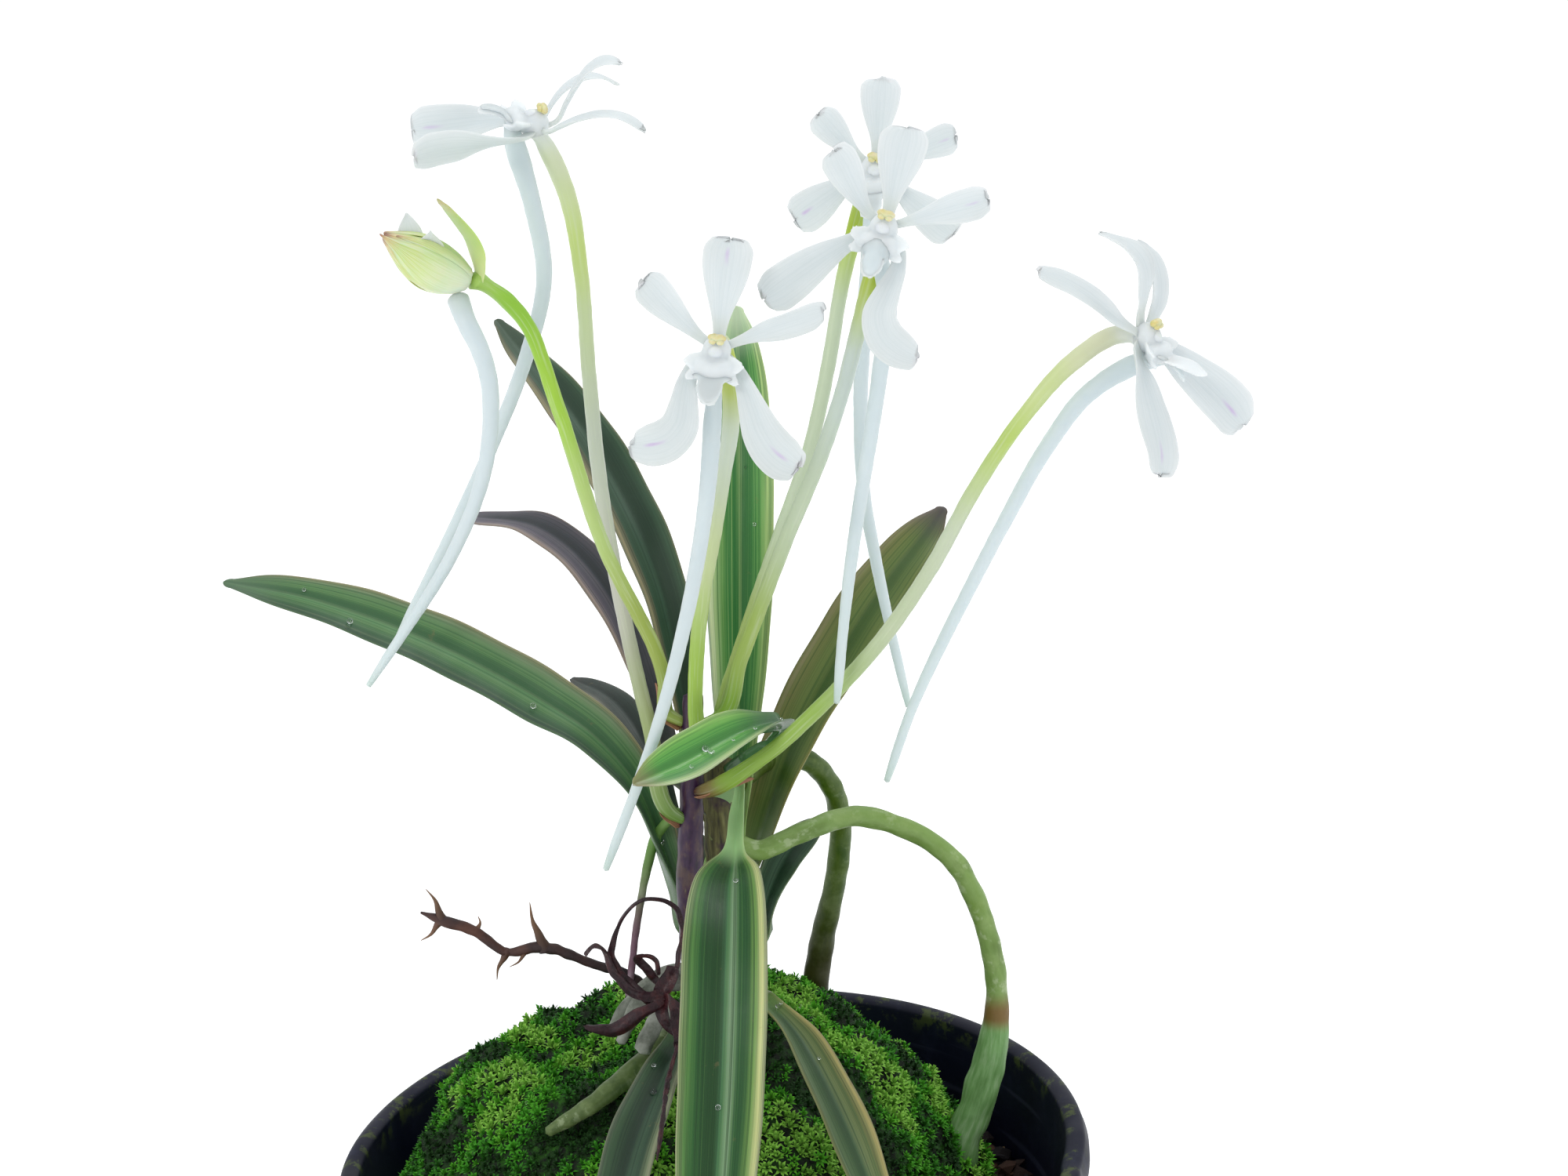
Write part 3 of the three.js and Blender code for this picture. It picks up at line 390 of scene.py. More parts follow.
class Strap:
    """A flat blade, by its centre line, its side and face directions, half width, edge lift and thickness."""

    def __init__(self, centre, side, face, half, lift, thick):
        self.keys = [np.asarray(v, float) for v in (centre, side, face, half, lift, thick)]

    @classmethod
    def read(cls, node, near):
        _, rings, last = read_rings(node, near)
        spans = np.linalg.norm(rings - np.roll(rings, 4, axis=1), axis=2)
        wide = int(spans.max(1).argmax())
        start = int(spans[wide, :4].argmax())
        rings = np.roll(rings, -start, axis=1)
        ring = rings[wide]
        up = (ring[0] + ring[4]) / 2 - ring[[1, 2, 3, 5, 6, 7]].mean(0)
        if np.dot(ring[2] - ring[6], up) < 0:
            rings = rings[:, [0, 7, 6, 5, 4, 3, 2, 1]]
            ring = rings[wide]
        ahead = rings[min(wide + 1, len(rings) - 1)].mean(0) - rings[wide - 1].mean(0)
        if np.dot(ring[4] - ring[0], np.cross(ring[2] - ring[6], ahead)) < 0:
            rings = rings[:, [4, 3, 2, 1, 0, 7, 6, 5]]
        face = rings[:, 2] - rings[:, 6]
        thick = np.linalg.norm(face, axis=1) / 1.12
        face = unit(face)
        centre = rings[:, 2] - face * (0.42 * thick)[:, None]
        across = rings[:, 4] - rings[:, 0]
        lift = (((rings[:, 0] + rings[:, 4]) / 2 - centre) * face).sum(1)
        strap = cls(centre, unit(across), face, np.linalg.norm(across, axis=1) / 2, lift, thick)
        strap.tip = last
        return strap

    def before(self, rows):
        """Adds rows (centre, half, lift, thick) ahead of the base, with the base's directions."""
        c, s, f, h, l, t = self.keys
        k = len(rows)
        self.keys = [
            np.vstack([[r[0] for r in rows], c]),
            np.vstack([[s[0]] * k, s]),
            np.vstack([[f[0]] * k, f]),
            np.concatenate([[r[1] for r in rows], h]),
            np.concatenate([[r[2] for r in rows], l]),
            np.concatenate([[r[3] for r in rows], t]),
        ]
        self.added = k

    def mesh(
        self, step=0.8, around=40, crease=1.25, keel=0.3, wave=0.0, ragged=0.0, seed=0, blunt=1.0, ribs=0.0
    ):
        c, s, f, h, l, t = self.keys
        tip = getattr(self, "tip", c[-1] + (c[-1] - c[-2]) * 0.3)
        line = lengths(np.vstack([c, [tip]]))
        total, last = line[-1], line[-2]
        zero = line[getattr(self, "added", 0)]
        close = (total - last) * blunt
        count = max(10, int(last / step))
        places = np.concatenate([
            np.linspace(0, total - close, count), total - close * (1 - np.sin(np.linspace(0.2, 1.45, 6)))
        ])
        centre = eased(line, np.vstack([c, [tip]]), places)
        ext = lambda v: eased(line[:-1], v, np.minimum(places, last))
        side, face = unit(ext(s)), unit(ext(f))
        shut = np.sqrt(np.clip((total - places) / close, 0, 1) * (2 - np.clip((total - places) / close, 0, 1)))
        half, lift = np.maximum(ext(h), 0.05) * shut, ext(l) * shut
        thick = np.maximum(ext(t), 0.06) * (0.35 + 0.65 * shut)
        phi = np.arange(around) * TAU / around
        v, up = -np.cos(phi), np.sin(phi)
        bend = (np.sqrt(v**2 + 0.012) - math.sqrt(0.012)) ** crease
        upper = np.where(up > 0, 0.42, -0.6) * np.abs(up) ** 0.75 * (1 - 0.3 * v**2)
        upper = upper - np.where(up < 0, keel * np.exp(-((v / 0.13) ** 2)), 0.0)
        upper = upper + np.where(up > 0, -0.25 * keel * np.exp(-((v / 0.1) ** 2)), 0.0)
        upper = upper + ribs * np.cos(v * 9 * math.pi) * np.abs(up) ** 0.5 * np.sign(up)
        along = (places - zero) / (total - zero)
        swell = wave * v[None] ** 2 * np.sign(v)[None] * np.sin(
            places[:, None] * 0.55 + seed + 0.8 * np.sign(v)[None]
        )
        swell = swell + 0.6 * wave * np.sin(places[:, None] * 0.23 + 2 * seed)
        swell = swell * np.clip(along, 0, 0.25)[:, None] * 4
        jag = np.zeros((len(places), around))
        if ragged:
            teeth = np.array([
                noise.noise((x * 3.1 + seed * 7.3, seed, 0.5)) + 0.6 * noise.noise((x * 8.7, seed, 3.5))
                for x in v
            ])
            jag = ragged * teeth[None] * (np.clip((places - total + 1.3) / 1.3, 0, 1) ** 1.5)[:, None]
        ahead = unit(np.gradient(centre, axis=0))
        rings = (
            centre[:, None]
            + side[:, None] * (half[:, None] * v[None])[..., None]
            + face[:, None] * (lift[:, None] * bend[None] + thick[:, None] * upper[None] + swell)[..., None]
            + ahead[:, None] * jag[..., None]
        )
        under = 0.5 - 0.5 * np.sign(up) * np.abs(up) ** 0.4
        strap = stacked(v, along[:, None], under)
        points, faces = loft(rings, centre[0], centre[-1] + ahead[-1] * (total - places[-1]) * 0.3)
        strap = np.vstack([strap, [[0, along[0], 0.5], [0, 1, 0.5]]])
        return points, faces, strap


def tube(path, radii, step=0.8, around=18, lumps=0.0, grain=1.0, seed=0, side=None, squash=None):
    """Round rod over key points and radii (or half widths, with squash as half heights).

    strap: round, along, mm from the end.
    """
    path, radii = np.asarray(path, float), np.asarray(radii, float)
    line = lengths(path)
    count = max(6, int(line[-1] / step))
    places = np.linspace(0, line[-1], count)
    centre, r = eased(line, path, places), np.maximum(eased(line, radii, places), 0.03)
    r2 = r if squash is None else np.maximum(eased(line, squash, places), 0.03)
    ahead = unit(np.gradient(centre, axis=0))
    u = np.array([0.9, -0.4, 0.1]) if side is None else np.asarray(side, float)
    phi = np.arange(around) * TAU / around
    rings = []
    for i in range(count):
        u = unit(u - ahead[i] * np.dot(u, ahead[i]))
        w = np.cross(ahead[i], u)
        ring = centre[i] + np.outer(np.cos(phi) * r[i], u) + np.outer(np.sin(phi) * r2[i], w)
        if lumps:
            push = np.array([noise.noise(Vector(p * grain) + Vector((seed, 0, 0))) for p in ring])
            ring = centre[i] + (ring - centre[i]) * (1 + lumps * push)[:, None]
        rings.append(ring)
    rings = np.array(rings)
    points, faces = loft(rings, centre[0] - ahead[0] * (r[0] * 0.5), centre[-1] + ahead[-1] * (r[-1] * 0.5))
    along = places[:, None]
    strap = stacked(np.abs(phi / math.pi - 1), along / line[-1], line[-1] - along)
    strap = np.vstack([strap, [[0, 0, line[-1]], [0, 1, 0]]])
    return points, faces, strap


def read_rod(node, near):
    """Key points and radii of a CAD rod, from the end nearer to a point."""
    _, rings, _ = read_rings(node, near)
    centre = rings.mean(1)
    return centre, np.linalg.norm(rings - centre[:, None], axis=2).mean(1)


def read_stalk(node):
    """A CAD stalk's key points and radii, led back into the rachis; its start, its heading and the rachis beside it."""
    path, radius = read_rod(node, MID_RACHIS)
    start, heading = path[0], unit(path[1] - path[0])
    axis, _ = read_rod("rachis", RACHIS_FOOT)
    near = axis[int(np.abs(axis[:, 2] - start[2] + 1).argmin())]
    path = np.vstack([near + (start - near) * 0.4, path])
    return path, np.append(radius[0] * 0.7, radius), start, heading, near


# ---------------------------------------------------------------- pot, medium, moss
def evaluated(node, *modifiers):
    """Points in mm, faces and normals of a copy of a CAD node's mesh, or of a new mesh, after modifiers."""
    obj = bpy.data.objects.new("work", NODES[node].data.copy() if isinstance(node, str) else node)
    scene.collection.objects.link(obj)
    for kind, settings in modifiers:
        m = obj.modifiers.new(kind, kind)
        for key, value in settings.items():
            setattr(m, key, value)
    mesh = bpy.data.meshes.new_from_object(obj.evaluated_get(bpy.context.evaluated_depsgraph_get()))
    points = np.empty(len(mesh.vertices) * 3)
    mesh.vertices.foreach_get("co", points)
    normals = np.array([n.vector for n in mesh.vertex_normals])
    faces = [tuple(p.vertices) for p in mesh.polygons]
    bpy.data.objects.remove(obj)
    return points.reshape(-1, 3) / MM, faces, normals


def fused(parts, voxel, smoothing):
    """Overlapping closed shapes as the points and faces of one smooth skin."""
    mesh = new_mesh("work", *joined(parts)[:2])
    smooth = ("SMOOTH", dict(factor=0.5, iterations=smoothing))
    return evaluated(mesh, ("REMESH", dict(mode="VOXEL", voxel_size=voxel)), smooth)[:2]


def fractal(points, scale, octaves=3, seed=0.0):
    shift = Vector((seed, seed * 0.7, -seed))
    return np.array([noise.fractal(Vector(p * scale) + shift, 1.0, 2.0, octaves) for p in points])


def build_pot():
    height = np.array(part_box("pot")[1])[2] / MM
    raw = corners(NODES["pot"].data.vertices)
    reach = np.hypot(raw[:, 0], raw[:, 1])
    rim = reach.max()
    band = min(z for z, r in zip(raw[:, 2], reach) if r > rim - 0.05)
    foot = reach[raw[:, 2] < 0.05].max() + 1
    inner = reach[(raw[:, 2] > height - 1) & (raw[:, 2] < height - 0.3)].min()
    floor_in = raw[(raw[:, 2] > 1) & (raw[:, 2] < 4) & (reach > 25)]
    floor_z = floor_in[:, 2].mean()
    foot_in = np.hypot(floor_in[:, 0], floor_in[:, 1]).max()
    neck = inner + 1.2
    base = [(foot - 0.9, 0.0), (foot - 0.35, 0.12), (foot - 0.06, 0.5), (foot, 1.0)]
    wall = [(foot + (neck - foot) * t, 1 + (band - 1 - 1) * t) for t in np.linspace(0.04, 1, 30)]

    def arc(r, z, wide, high, low, far, count):
        turns = [math.radians(a) for a in np.linspace(low, far, count)]
        return [(r + wide * math.cos(a), z + high * math.sin(a)) for a in turns]

    lip = arc(rim - 0.75, band + 0.75, 0.75, 0.75, -90, 90, 13)
    top = arc((rim + inner) / 2 - 0.2, height - 0.8, (rim - inner) / 2 - 0.2, 0.8, 0, 180, 15)
    inside = [
        (foot_in + (inner - foot_in) * t, floor_z + (height - 1.4 - floor_z) * t)
        for t in np.linspace(0.98, 0, 24)
    ]
    wall.append((neck + 0.1, band - 0.25))
    top.insert(0, (rim - 0.02, (band + height) / 2))
    outline = base + wall + lip[:7] + top + inside
    around = 200
    rings = []
    for r, z in outline:
        ring = []
        for j in range(around):
            a = TAU * j / around
            far = max(0.0, (z - 40) / 40)
            warp = 0.28 * far * noise.noise((math.cos(a) * 1.3, math.sin(a) * 1.3, 0.4))
            nick = math.degrees(a) - 335
            dent = -1.1 * far**6 * math.exp(-((nick / 2.6) ** 2)) + 0.5 * far**6 * math.exp(
                -(((nick - 6) / 2.2) ** 2)
            )
            rr = r + warp + dent
            ring.append((rr * math.cos(a), rr * math.sin(a), z))
        rings.append(ring)
    rings = np.array(rings)
    points = rings.reshape(-1, 3)
    faces = bands(len(rings), around)
    # The floor with its drain holes is the CAD floor, cut out of the node and joined under the wall.
    bm = bmesh.new()
    bm.from_mesh(NODES["pot"].data)
    bmesh.ops.remove_doubles(bm, verts=bm.verts, dist=WELD)
    wall_faces = [f for f in bm.faces if any(v.co.z > (floor_z + 0.05) * MM for v in f.verts)]
    bmesh.ops.delete(bm, geom=wall_faces, context="FACES")
    bm.verts.ensure_lookup_table()
    start = len(points)
    extra = corners(bm.verts)
    faces += [tuple(v.index + start for v in f.verts) for f in bm.faces]
    bm.free()
    points = np.vstack([points, extra])

    m = Look("pot_plastic", roughness=0.55, Specular_IOR_Level=0.22, Coat_Weight=0.03, Coat_Roughness=0.35)
    cloud = m.noise(55, 4)
    fine = m.noise(420, 3)
    height_at = m.node("SeparateXYZ")
    m.feed(height_at.inputs[0], m.place())
    z = height_at.outputs[2]
    tone = m.mix(cloud, "080a1c", "10132b")
    dust = m.maths(
        "MULTIPLY", m.span(m.noise(170, 5, rough=0.7), 0.5, 0.72), m.span(z, 0.045, 0.0805, 0.12, 0.62)
    )
    tone = m.over(tone, "343a58", dust, 0.35)
    grime = m.maths("MULTIPLY", m.span(m.noise(240, 5, rough=0.75), 0.52, 0.62), m.span(z, 0.0765, 0.0795))
    tone = m.mix(grime, tone, "3f4a27")
    scratches = m.noise(60, 2, vector=m.scaled(m.place(), (0.6, 0.6, 9)), rough=0.5)
    worn = m.maths("MULTIPLY", m.span(scratches, 0.6, 0.7), 0.35)
    tone = m.over(tone, "565b74", worn, 0.6)
    m.colour(tone)
    m.rough(m.span(m.noise(90, 4), 0.3, 0.75, 0.42, 0.68))
    m.bump(fine, 0.25, 0.08)
    m.bump(scratches, 0.2, 0.15)
    piece("pot_shell", (points, faces), m, "pot", ["pot"])
    return inner


def medium_top():
    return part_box("growing_medium")[1].z / MM


def on_medium(points):
    """Points that are given from the top of the growing medium."""
    return np.array(points) + [0, 0, medium_top()]


def chips(rand, spots, sizes, name, look, slot):
    """Broken, angular bits lying at spots (mm)."""
    bm = bmesh.new()
    bmesh.ops.create_icosphere(bm, subdivisions=1, radius=1)
    ball = np.array([v.co for v in bm.verts])
    tris = [tuple(v.index for v in f.verts) for f in bm.faces]
    bm.free()
    points, faces, tint, base = [], [], [], 0
    for spot, size in zip(spots, sizes):
        shape = ball * (1 + rand.uniform(-0.3, 0.3, (len(ball), 1))) * [
            1, rand.uniform(0.45, 0.9), rand.uniform(CHIP_FLATNESS * 0.7, CHIP_FLATNESS * 1.3)
        ]
        a, b = rand.uniform(0, TAU), rand.uniform(-0.5, 0.5)
        turn = np.array([[math.cos(a), -math.sin(a), 0], [math.sin(a), math.cos(a), 0], [0, 0, 1]])
        tip = np.array([[1, 0, 0], [0, math.cos(b), -math.sin(b)], [0, math.sin(b), math.cos(b)]])
        points.append(shape @ tip.T @ turn.T * size + spot)
        faces += [tuple(i + base for i in t) for t in tris]
        tint.append(np.full(len(ball), rand.uniform(0, 1)))
        base += len(ball)
    piece(name, (np.vstack(points), faces), look, slot, smooth=False, tint=np.concatenate(tint))


def build_medium(inner):
    points, faces, _ = evaluated("growing_medium", ("REMESH", dict(mode="VOXEL", voxel_size=MEDIUM_VOXEL)))
    top = points[:, 2] > points[:, 2].max() - 4
    bumps = fractal(points, 0.35, 3, 4.0)
    points = points + np.where(top, bumps * 1.1 - 0.4, 0.0)[:, None] * np.array([0, 0, 1.0])
    m = Look("bark_mix", roughness=0.9, Specular_IOR_Level=0.25)
    tone = m.ramp(m.noise(260, 5, rough=0.7), "0.25 0d0b10  0.5 241a19  0.75 4a3226")
    m.colour(tone)
    m.bump(m.noise(500, 4), 0.8, 0.5)
    piece("medium_bed", (points, faces), m, "growing_medium", ["growing_medium"])

    c = Look("bark_chips", roughness=0.85, Specular_IOR_Level=0.3)
    tint = c.value("tint")
    grain = c.noise(900, 4, rough=0.7)
    tone = c.ramp(tint, "0.0 0f0d14  0.45 1d1719  0.75 3a261f  0.93 5b3e2d  1.0 8b7458")
    c.colour(c.over(tone, "120e12", grain, 0.5))
    c.bump(grain, 0.6, 0.2)
    rand = np.random.default_rng(5)
    level = medium_top()
    spots, sizes = [], []
    for _ in range(CHIP_COUNT):
        a = rand.uniform(0, TAU)
        r = inner * math.sqrt(rand.uniform(0.36, 0.9))
        size = rand.uniform(0.5, 1.7) * (1.3 if rand.uniform() > 0.9 else 1)
        r = min(r, inner - 0.12 * (80 - level) - size - 0.3)
        spots.append((r * math.cos(a), r * math.sin(a), level + rand.uniform(-0.4, 0.9)))
        sizes.append(size)
    chips(rand, spots, sizes, "medium_chips", c, "growing_medium")


def moss_look(name):
    return Look(name, roughness=0.72, Specular_IOR_Level=0.3, soft=(0.15, 0.001, (0.4, 1.0, 0.15)))


def build_moss():
    points, faces, normals = evaluated("moss", ("REMESH", dict(mode="VOXEL", voxel_size=MOSS_VOXEL)))
    lowest = points[:, 2].min()
    lumps = fractal(points, 0.16, 3, 2.0)
    small = fractal(points, 0.75, 2, 9.0)
    up = np.clip(normals[:, 2] * 0.7 + 0.5, 0, 1)
    points = points + normals * ((lumps * 1.7 + small * 0.6 - 0.6) * up)[:, None]
    m = moss_look("moss_cushion")
    big, tiny = m.noise(70, 3), m.noise(700, 4, rough=0.7)
    tone = m.ramp(big, "0.3 0c2405  0.5 1b4408  0.72 2f6a10")
    m.colour(m.mix(m.span(tiny, 0.42, 0.66), "071204", tone))
    m.bump(tiny, 0.9, 0.7)
    piece("moss_cushion", (points, faces), m, "moss", ["moss"])

    # Shoots: little rosettes standing over the cushion, closer than their own width.
    rand = np.random.default_rng(23)
    tri = np.array([(f[0], f[1], f[2]) for f in faces] + [(f[0], f[2], f[3]) for f in faces if len(f) == 4])
    a, b, c = points[tri[:, 0]], points[tri[:, 1]], points[tri[:, 2]]
    cross = np.cross(b - a, c - a)
    area = np.linalg.norm(cross, axis=1) / 2
    way = unit(cross)
    open_to_sky = (way[:, 2] > -0.12) & (a[:, 2] > lowest + 0.8)
    weight = np.where(open_to_sky, area, 0)
    pick = rand.choice(len(tri), SHOOT_TRIES, p=weight / weight.sum())
    u, v = rand.uniform(size=(2, len(pick), 1))
    flip = (u + v) > 1
    u, v = np.where(flip, 1 - u, u), np.where(flip, 1 - v, v)
    spots = a[pick] + (b[pick] - a[pick]) * u + (c[pick] - a[pick]) * v
    ways = way[pick]
    grid, chosen = {}, []
    for i, p in enumerate(spots):
        cell = tuple((p / SHOOT_CELL).astype(int))
        around = itertools.product(*[(c - 1, c, c + 1) for c in cell])
        near = [q for c in around for q in grid.get(c, ())]
        if all(np.sum((spots[q] - p) ** 2) > SHOOT_GAP_SQUARED for q in near):
            grid.setdefault(cell, []).append(i)
            chosen.append(i)
    out_p, out_f, out_t, base = [], [], [], 0
    patch = fractal(spots[chosen], 0.11, 2, 5.0)
    for k, i in enumerate(chosen):
        n = unit(ways[i] * 0.75 + np.array([0, 0, 0.65]) + rand.normal(0, 0.16, 3))
        s = unit(np.cross(n, [0.31, 0.87, 0.2]))
        w = np.cross(n, s)
        size = rand.uniform(0.75, 1.2) * (1.0 + 0.25 * patch[k])
        foot = spots[i] - n * 0.25
        count = 8 if size > 0.8 else 7
        turn = rand.uniform(0, TAU)
        hue = np.clip(0.5 + 1.7 * patch[k] + rand.normal(0, 0.15), 0, 1)
        for ring, (number, reach, rise) in enumerate(((count, 1.0, 0.45), (4, 0.55, 0.95))):
            for j in range(number):
                t = turn + TAU * (j + 0.5 * ring) / number + rand.normal(0, 0.12)
                out = s * math.cos(t) + w * math.sin(t)
                lie = np.cross(n, out) * (0.17 * size)
                mid = foot + out * size * 0.5 * reach + n * size * rise * rand.uniform(0.75, 1.1)
                end = foot + out * size * reach + n * size * rise * rand.uniform(0.9, 1.35)
                out_p += [foot - lie * 0.7, foot + lie * 0.7, mid + lie, mid - lie, end]
                out_f += [(base, base + 1, base + 2, base + 3), (base + 3, base + 2, base + 4)]
                out_t += [(hue, 0.0, 0), (hue, 0.0, 0), (hue, 0.6, 0), (hue, 0.6, 0), (hue, 1.0, 0)]
                base += 5
    f = moss_look("moss_shoots")
    hue, along, _ = f.strap()
    tone = f.ramp(hue, "0.0 103804  0.16 1f5c08  0.36 358a10  0.65 4fa81a  0.88 63b428  1.0 8ac848")
    # Painted shade: each shoot darkens towards its foot, where the shoots shade one another.
    f.colour(f.mix(f.span(along, 0.05, 0.95), f.mix(0.6, tone, "0f2c06"), tone))
    piece("moss_shoots", (np.array(out_p), out_f, np.array(out_t)), f, "moss", smooth=False)
    return spots[chosen], ways[chosen]


# ---------------------------------------------------------------- leaves
# Places of a leaf's stripes between its two edges.
LEAF_STOPS = (0.0, 0.045, 0.1, 0.19, 0.3, 0.42, 0.5, 0.58, 0.67, 0.76, 0.85, 0.94, 1.0)
LEAF_TONES = {  # the stripes of the upper face, from edge to edge, then the tip and the base
    "leaf_front": (
        "b2b68c 93ab6c 4f7c3a 1f5420 123f16 0f3a12 3c6a44 7d9c76 1a4e20 164a1c 6a9346 c4c888 c2c69a",
        "4a7a3c", "a4cc8e",
    ),
    "leaf_upright": (
        "c9dd9a bcd58a a9c77c 5e9a4a 3c8038 1f6428 165a22 1d6a26 2c7433 5a9046 9dbb7e cfdcae e2ecd0",
        "cfe0c0", "9cc470",
    ),
    "leaf_upper_left": (
        "a49a78 5f7a58 36543c 253f2c 1b3524 1f3826 2a4432 3a5844 2c4a34 31503a 6f6a52 9a8f6e b0a684",
        "4a5a4a", "6f7c44",
    ),
    "leaf_middle_left": (
        "b79f86 7f7478 5c5660 4c4a52 3b3e44 34383c 454850 6b6670 5d5a66 6a6270 8a7f86 ad9a90 bda894",
        "6e6a72", "4d5a48",
    ),
    "leaf_big_left": (
        "c7b995 a59a76 6f8460 5a8050 4f7a46 2f5a34 365f3a 5b8a56 527d4a 3e6640 33503a 2f4638 5a6a50",
        "587258", "4f6f42",
    ),
    "leaf_right": (
        "a79a5c 8a8a4a 6c7a3c 5c7034 4c652c 3c5822 445c2c 62753a 68783c 6c743c 787844 86805a 96885e",
        "513f4e", "5f7a3a",
    ),
    "leaf_lower_right_rear": (
        "93a27c 5f7a5c 44614a 35533e 2c4836 24402f 2d4a38 4a6a54 41604a 3a5642 4c6a50 71866a 8f9f80",
        "38503f", "5f7c4a",
    ),
    "leaf_curled": (
        "d5dfae bcd884 8cc25c 63ab44 4c9a3c 38802f 458f38 62ad4c 54984a 4c8a48 9cb884 c9d4a4 d9d6b4",
        "8a7a58", "2c5a30",
    ),
    "leaf_lower_left": (
        "8c9078 6d7a60 3f5a3c 2f4c30 223c26 1b3222 20382a 3a5640 34503a 2a4430 6a7a58 8e9474 a2a284",
        "3a4a34", "4c6a3e",
    ),
    "leaf_lower_right": (
        "9c9a62 88884f 5f7250 4d6640 3a5632 2f4a2c 3c5838 6b7c50 72804e 5a6c3c 8a8850 b4a768 c6b782",
        "70764c", "5a7a40",
    ),
    "leaf_small_rear": (
        "8a8478 5c6058 3c4640 303c36 28342e 242f2a 2c3832 48524c 404a44 38423c 54584e 7a7668 8d8878",
        "4a4a48", "4a5a40",
    ),
}


def leaf_look(name):
    stripes, tip, base = LEAF_TONES[name]
    stripes = stripes.split()
    greener, darkest = stripes[2], stripes[5]
    wet = name == "leaf_curled"
    m = Look(
        name + "_skin", roughness=0.42, Specular_IOR_Level=0.32, Coat_Weight=0.6 if wet else 0.06,
        Coat_Roughness=0.08 if wet else 0.3, soft=(0.06, 0.001)
    )
    across, along, under = m.strap()
    drift = m.grain(3.2, 2.4)
    fibre = m.grain(34, 1.6, 4, 0.6)
    lines = m.grain(90, 2.5, 3, 0.6)
    place = m.maths(
        "ADD", m.maths("MULTIPLY_ADD", across, 0.5, 0.5), m.maths("MULTIPLY_ADD", drift, 0.07, -0.035)
    )
    place = m.maths("ADD", place, m.maths("MULTIPLY_ADD", fibre, 0.05, -0.025))
    tone = m.ramp(place, " ".join(f"{at} {code}" for at, code in zip(LEAF_STOPS, stripes)), "EASE")
    broad = m.grain(8.5, 0.35, 2, 0.6)
    tone = m.over(tone, darkest, m.span(broad, 0.5, 0.58), 0.55)
    tone = m.over(tone, greener, m.span(broad, 0.46, 0.4), 0.3)
    dark = m.mix(0.6, tone, darkest)
    tone = m.over(tone, dark, m.span(fibre, 0.45, 0.62), 0.6)
    light = m.mix(0.35, tone, greener)
    tone = m.over(tone, light, m.span(lines, 0.5, 0.68), 0.5)
    pale = m.mix(0.5, tone, m.mix(0.5, stripes[3], "8fa58c"))
    tone = m.over(tone, pale, under, 0.6)
    tone = m.over(tone, tip, m.span(along, 0.86, 1.0), 0.75)
    start, reach = {"leaf_front": (0.2, 0.13), "leaf_curled": (0.55, 0.3)}.get(name, (0.16, 0.0))
    tone = m.over(tone, base, m.span(along, start, reach), 0.85)
    fleck = m.span(m.noise(330, 4, rough=0.7), 0.66, 0.74)
    tone = m.over(tone, "7a6a44", fleck, 0.3)
    m.colour(tone)
    m.rough(m.span(m.noise(240, 3), 0.3, 0.7, 0.34, 0.5))
    m.bump(lines, 0.25, 0.09)
    m.bump(m.noise(900, 2), 0.12, 0.05)
    return m


def stem_at(z):
    path, radius = read_rod("stem", STEM_FOOT)
    i = int(np.abs(path[:, 2] - z).argmin())
    return path[i], radius[i]


def build_leaves():
    straps = {}
    for k, name in enumerate(LEAF_TONES):
        strap = Strap.read(name, MID_STEM)
        c, _, _, h, l, t = strap.keys
        foot, girth = stem_at(c[0][2] - 3)
        away = c[0] - foot
        rows = []
        for share, sag in ((0.0, 2.5), (0.35, 1.6), (0.7, 0.6)):
            spot = foot + away * share
            spot[2] = c[0][2] - 3 + 3 * share - sag * (1 - share) * 0.4
            wide = girth * 1.05 + (h[0] - girth * 1.05) * share
            rows.append((spot, wide, max(l[0], 0.8), t[0]))
        if np.linalg.norm(away[:2]) < 1.2:
            rows = rows[:1]
        if name == "leaf_front":
            h[: len(h) // 4] *= 0.72
        strap.before(rows)
        shape = strap.mesh(step=0.75, around=44, crease=1.18, keel=0.35, wave=0.16, seed=k * 1.7, ribs=0.014)
        piece(name + "_blade", shape, leaf_look(name), name, [name])
        straps[name] = strap
    return straps


# ---------------------------------------------------------------- stem, rachis, roots
def build_stems():
    path, radius = read_rod("stem", STEM_FOOT)
    m = Look("stem_bark", roughness=0.6, Specular_IOR_Level=0.35)
    streak = m.grain(14, 9, 4)
    tone = m.ramp(streak, "0.3 2f2a20  0.5 5c5a34  0.7 7d7a4c")
    m.colour(m.mix(m.span(m.noise(300, 4), 0.5, 0.7), tone, "3b2436"))
    m.bump(streak, 0.6, 0.3)
    piece(
        "stem_sheathed", tube(path, radius, step=0.5, around=28, lumps=0.16, grain=0.5, seed=3), m, "stem",
        ["stem"]
    )

    path, radius = read_rod("rachis", RACHIS_FOOT)
    foot, _ = stem_at(path[0][2])
    path = np.vstack([foot - [0, 0, 4], (foot + path[0]) / 2 - [0, 0, 2], path])
    radius = np.concatenate([[1.2, 1.6], radius])
    m = Look("rachis_skin", roughness=0.4, Specular_IOR_Level=0.45)
    streak = m.grain(5, 16, 4)
    tone = m.ramp(streak, "0.3 1d0c24  0.48 33173a  0.62 48303a  0.75 6a6a44")
    m.colour(m.over(tone, "5c4a3a", m.span(m.noise(420, 4), 0.52, 0.66), 0.5))
    m.bump(m.noise(500, 3), 0.4, 0.15)
    piece(
        "rachis_skin", tube(path, radius, step=0.45, around=26, lumps=0.12, grain=0.6, seed=8), m, "rachis",
        ["rachis"]
    )


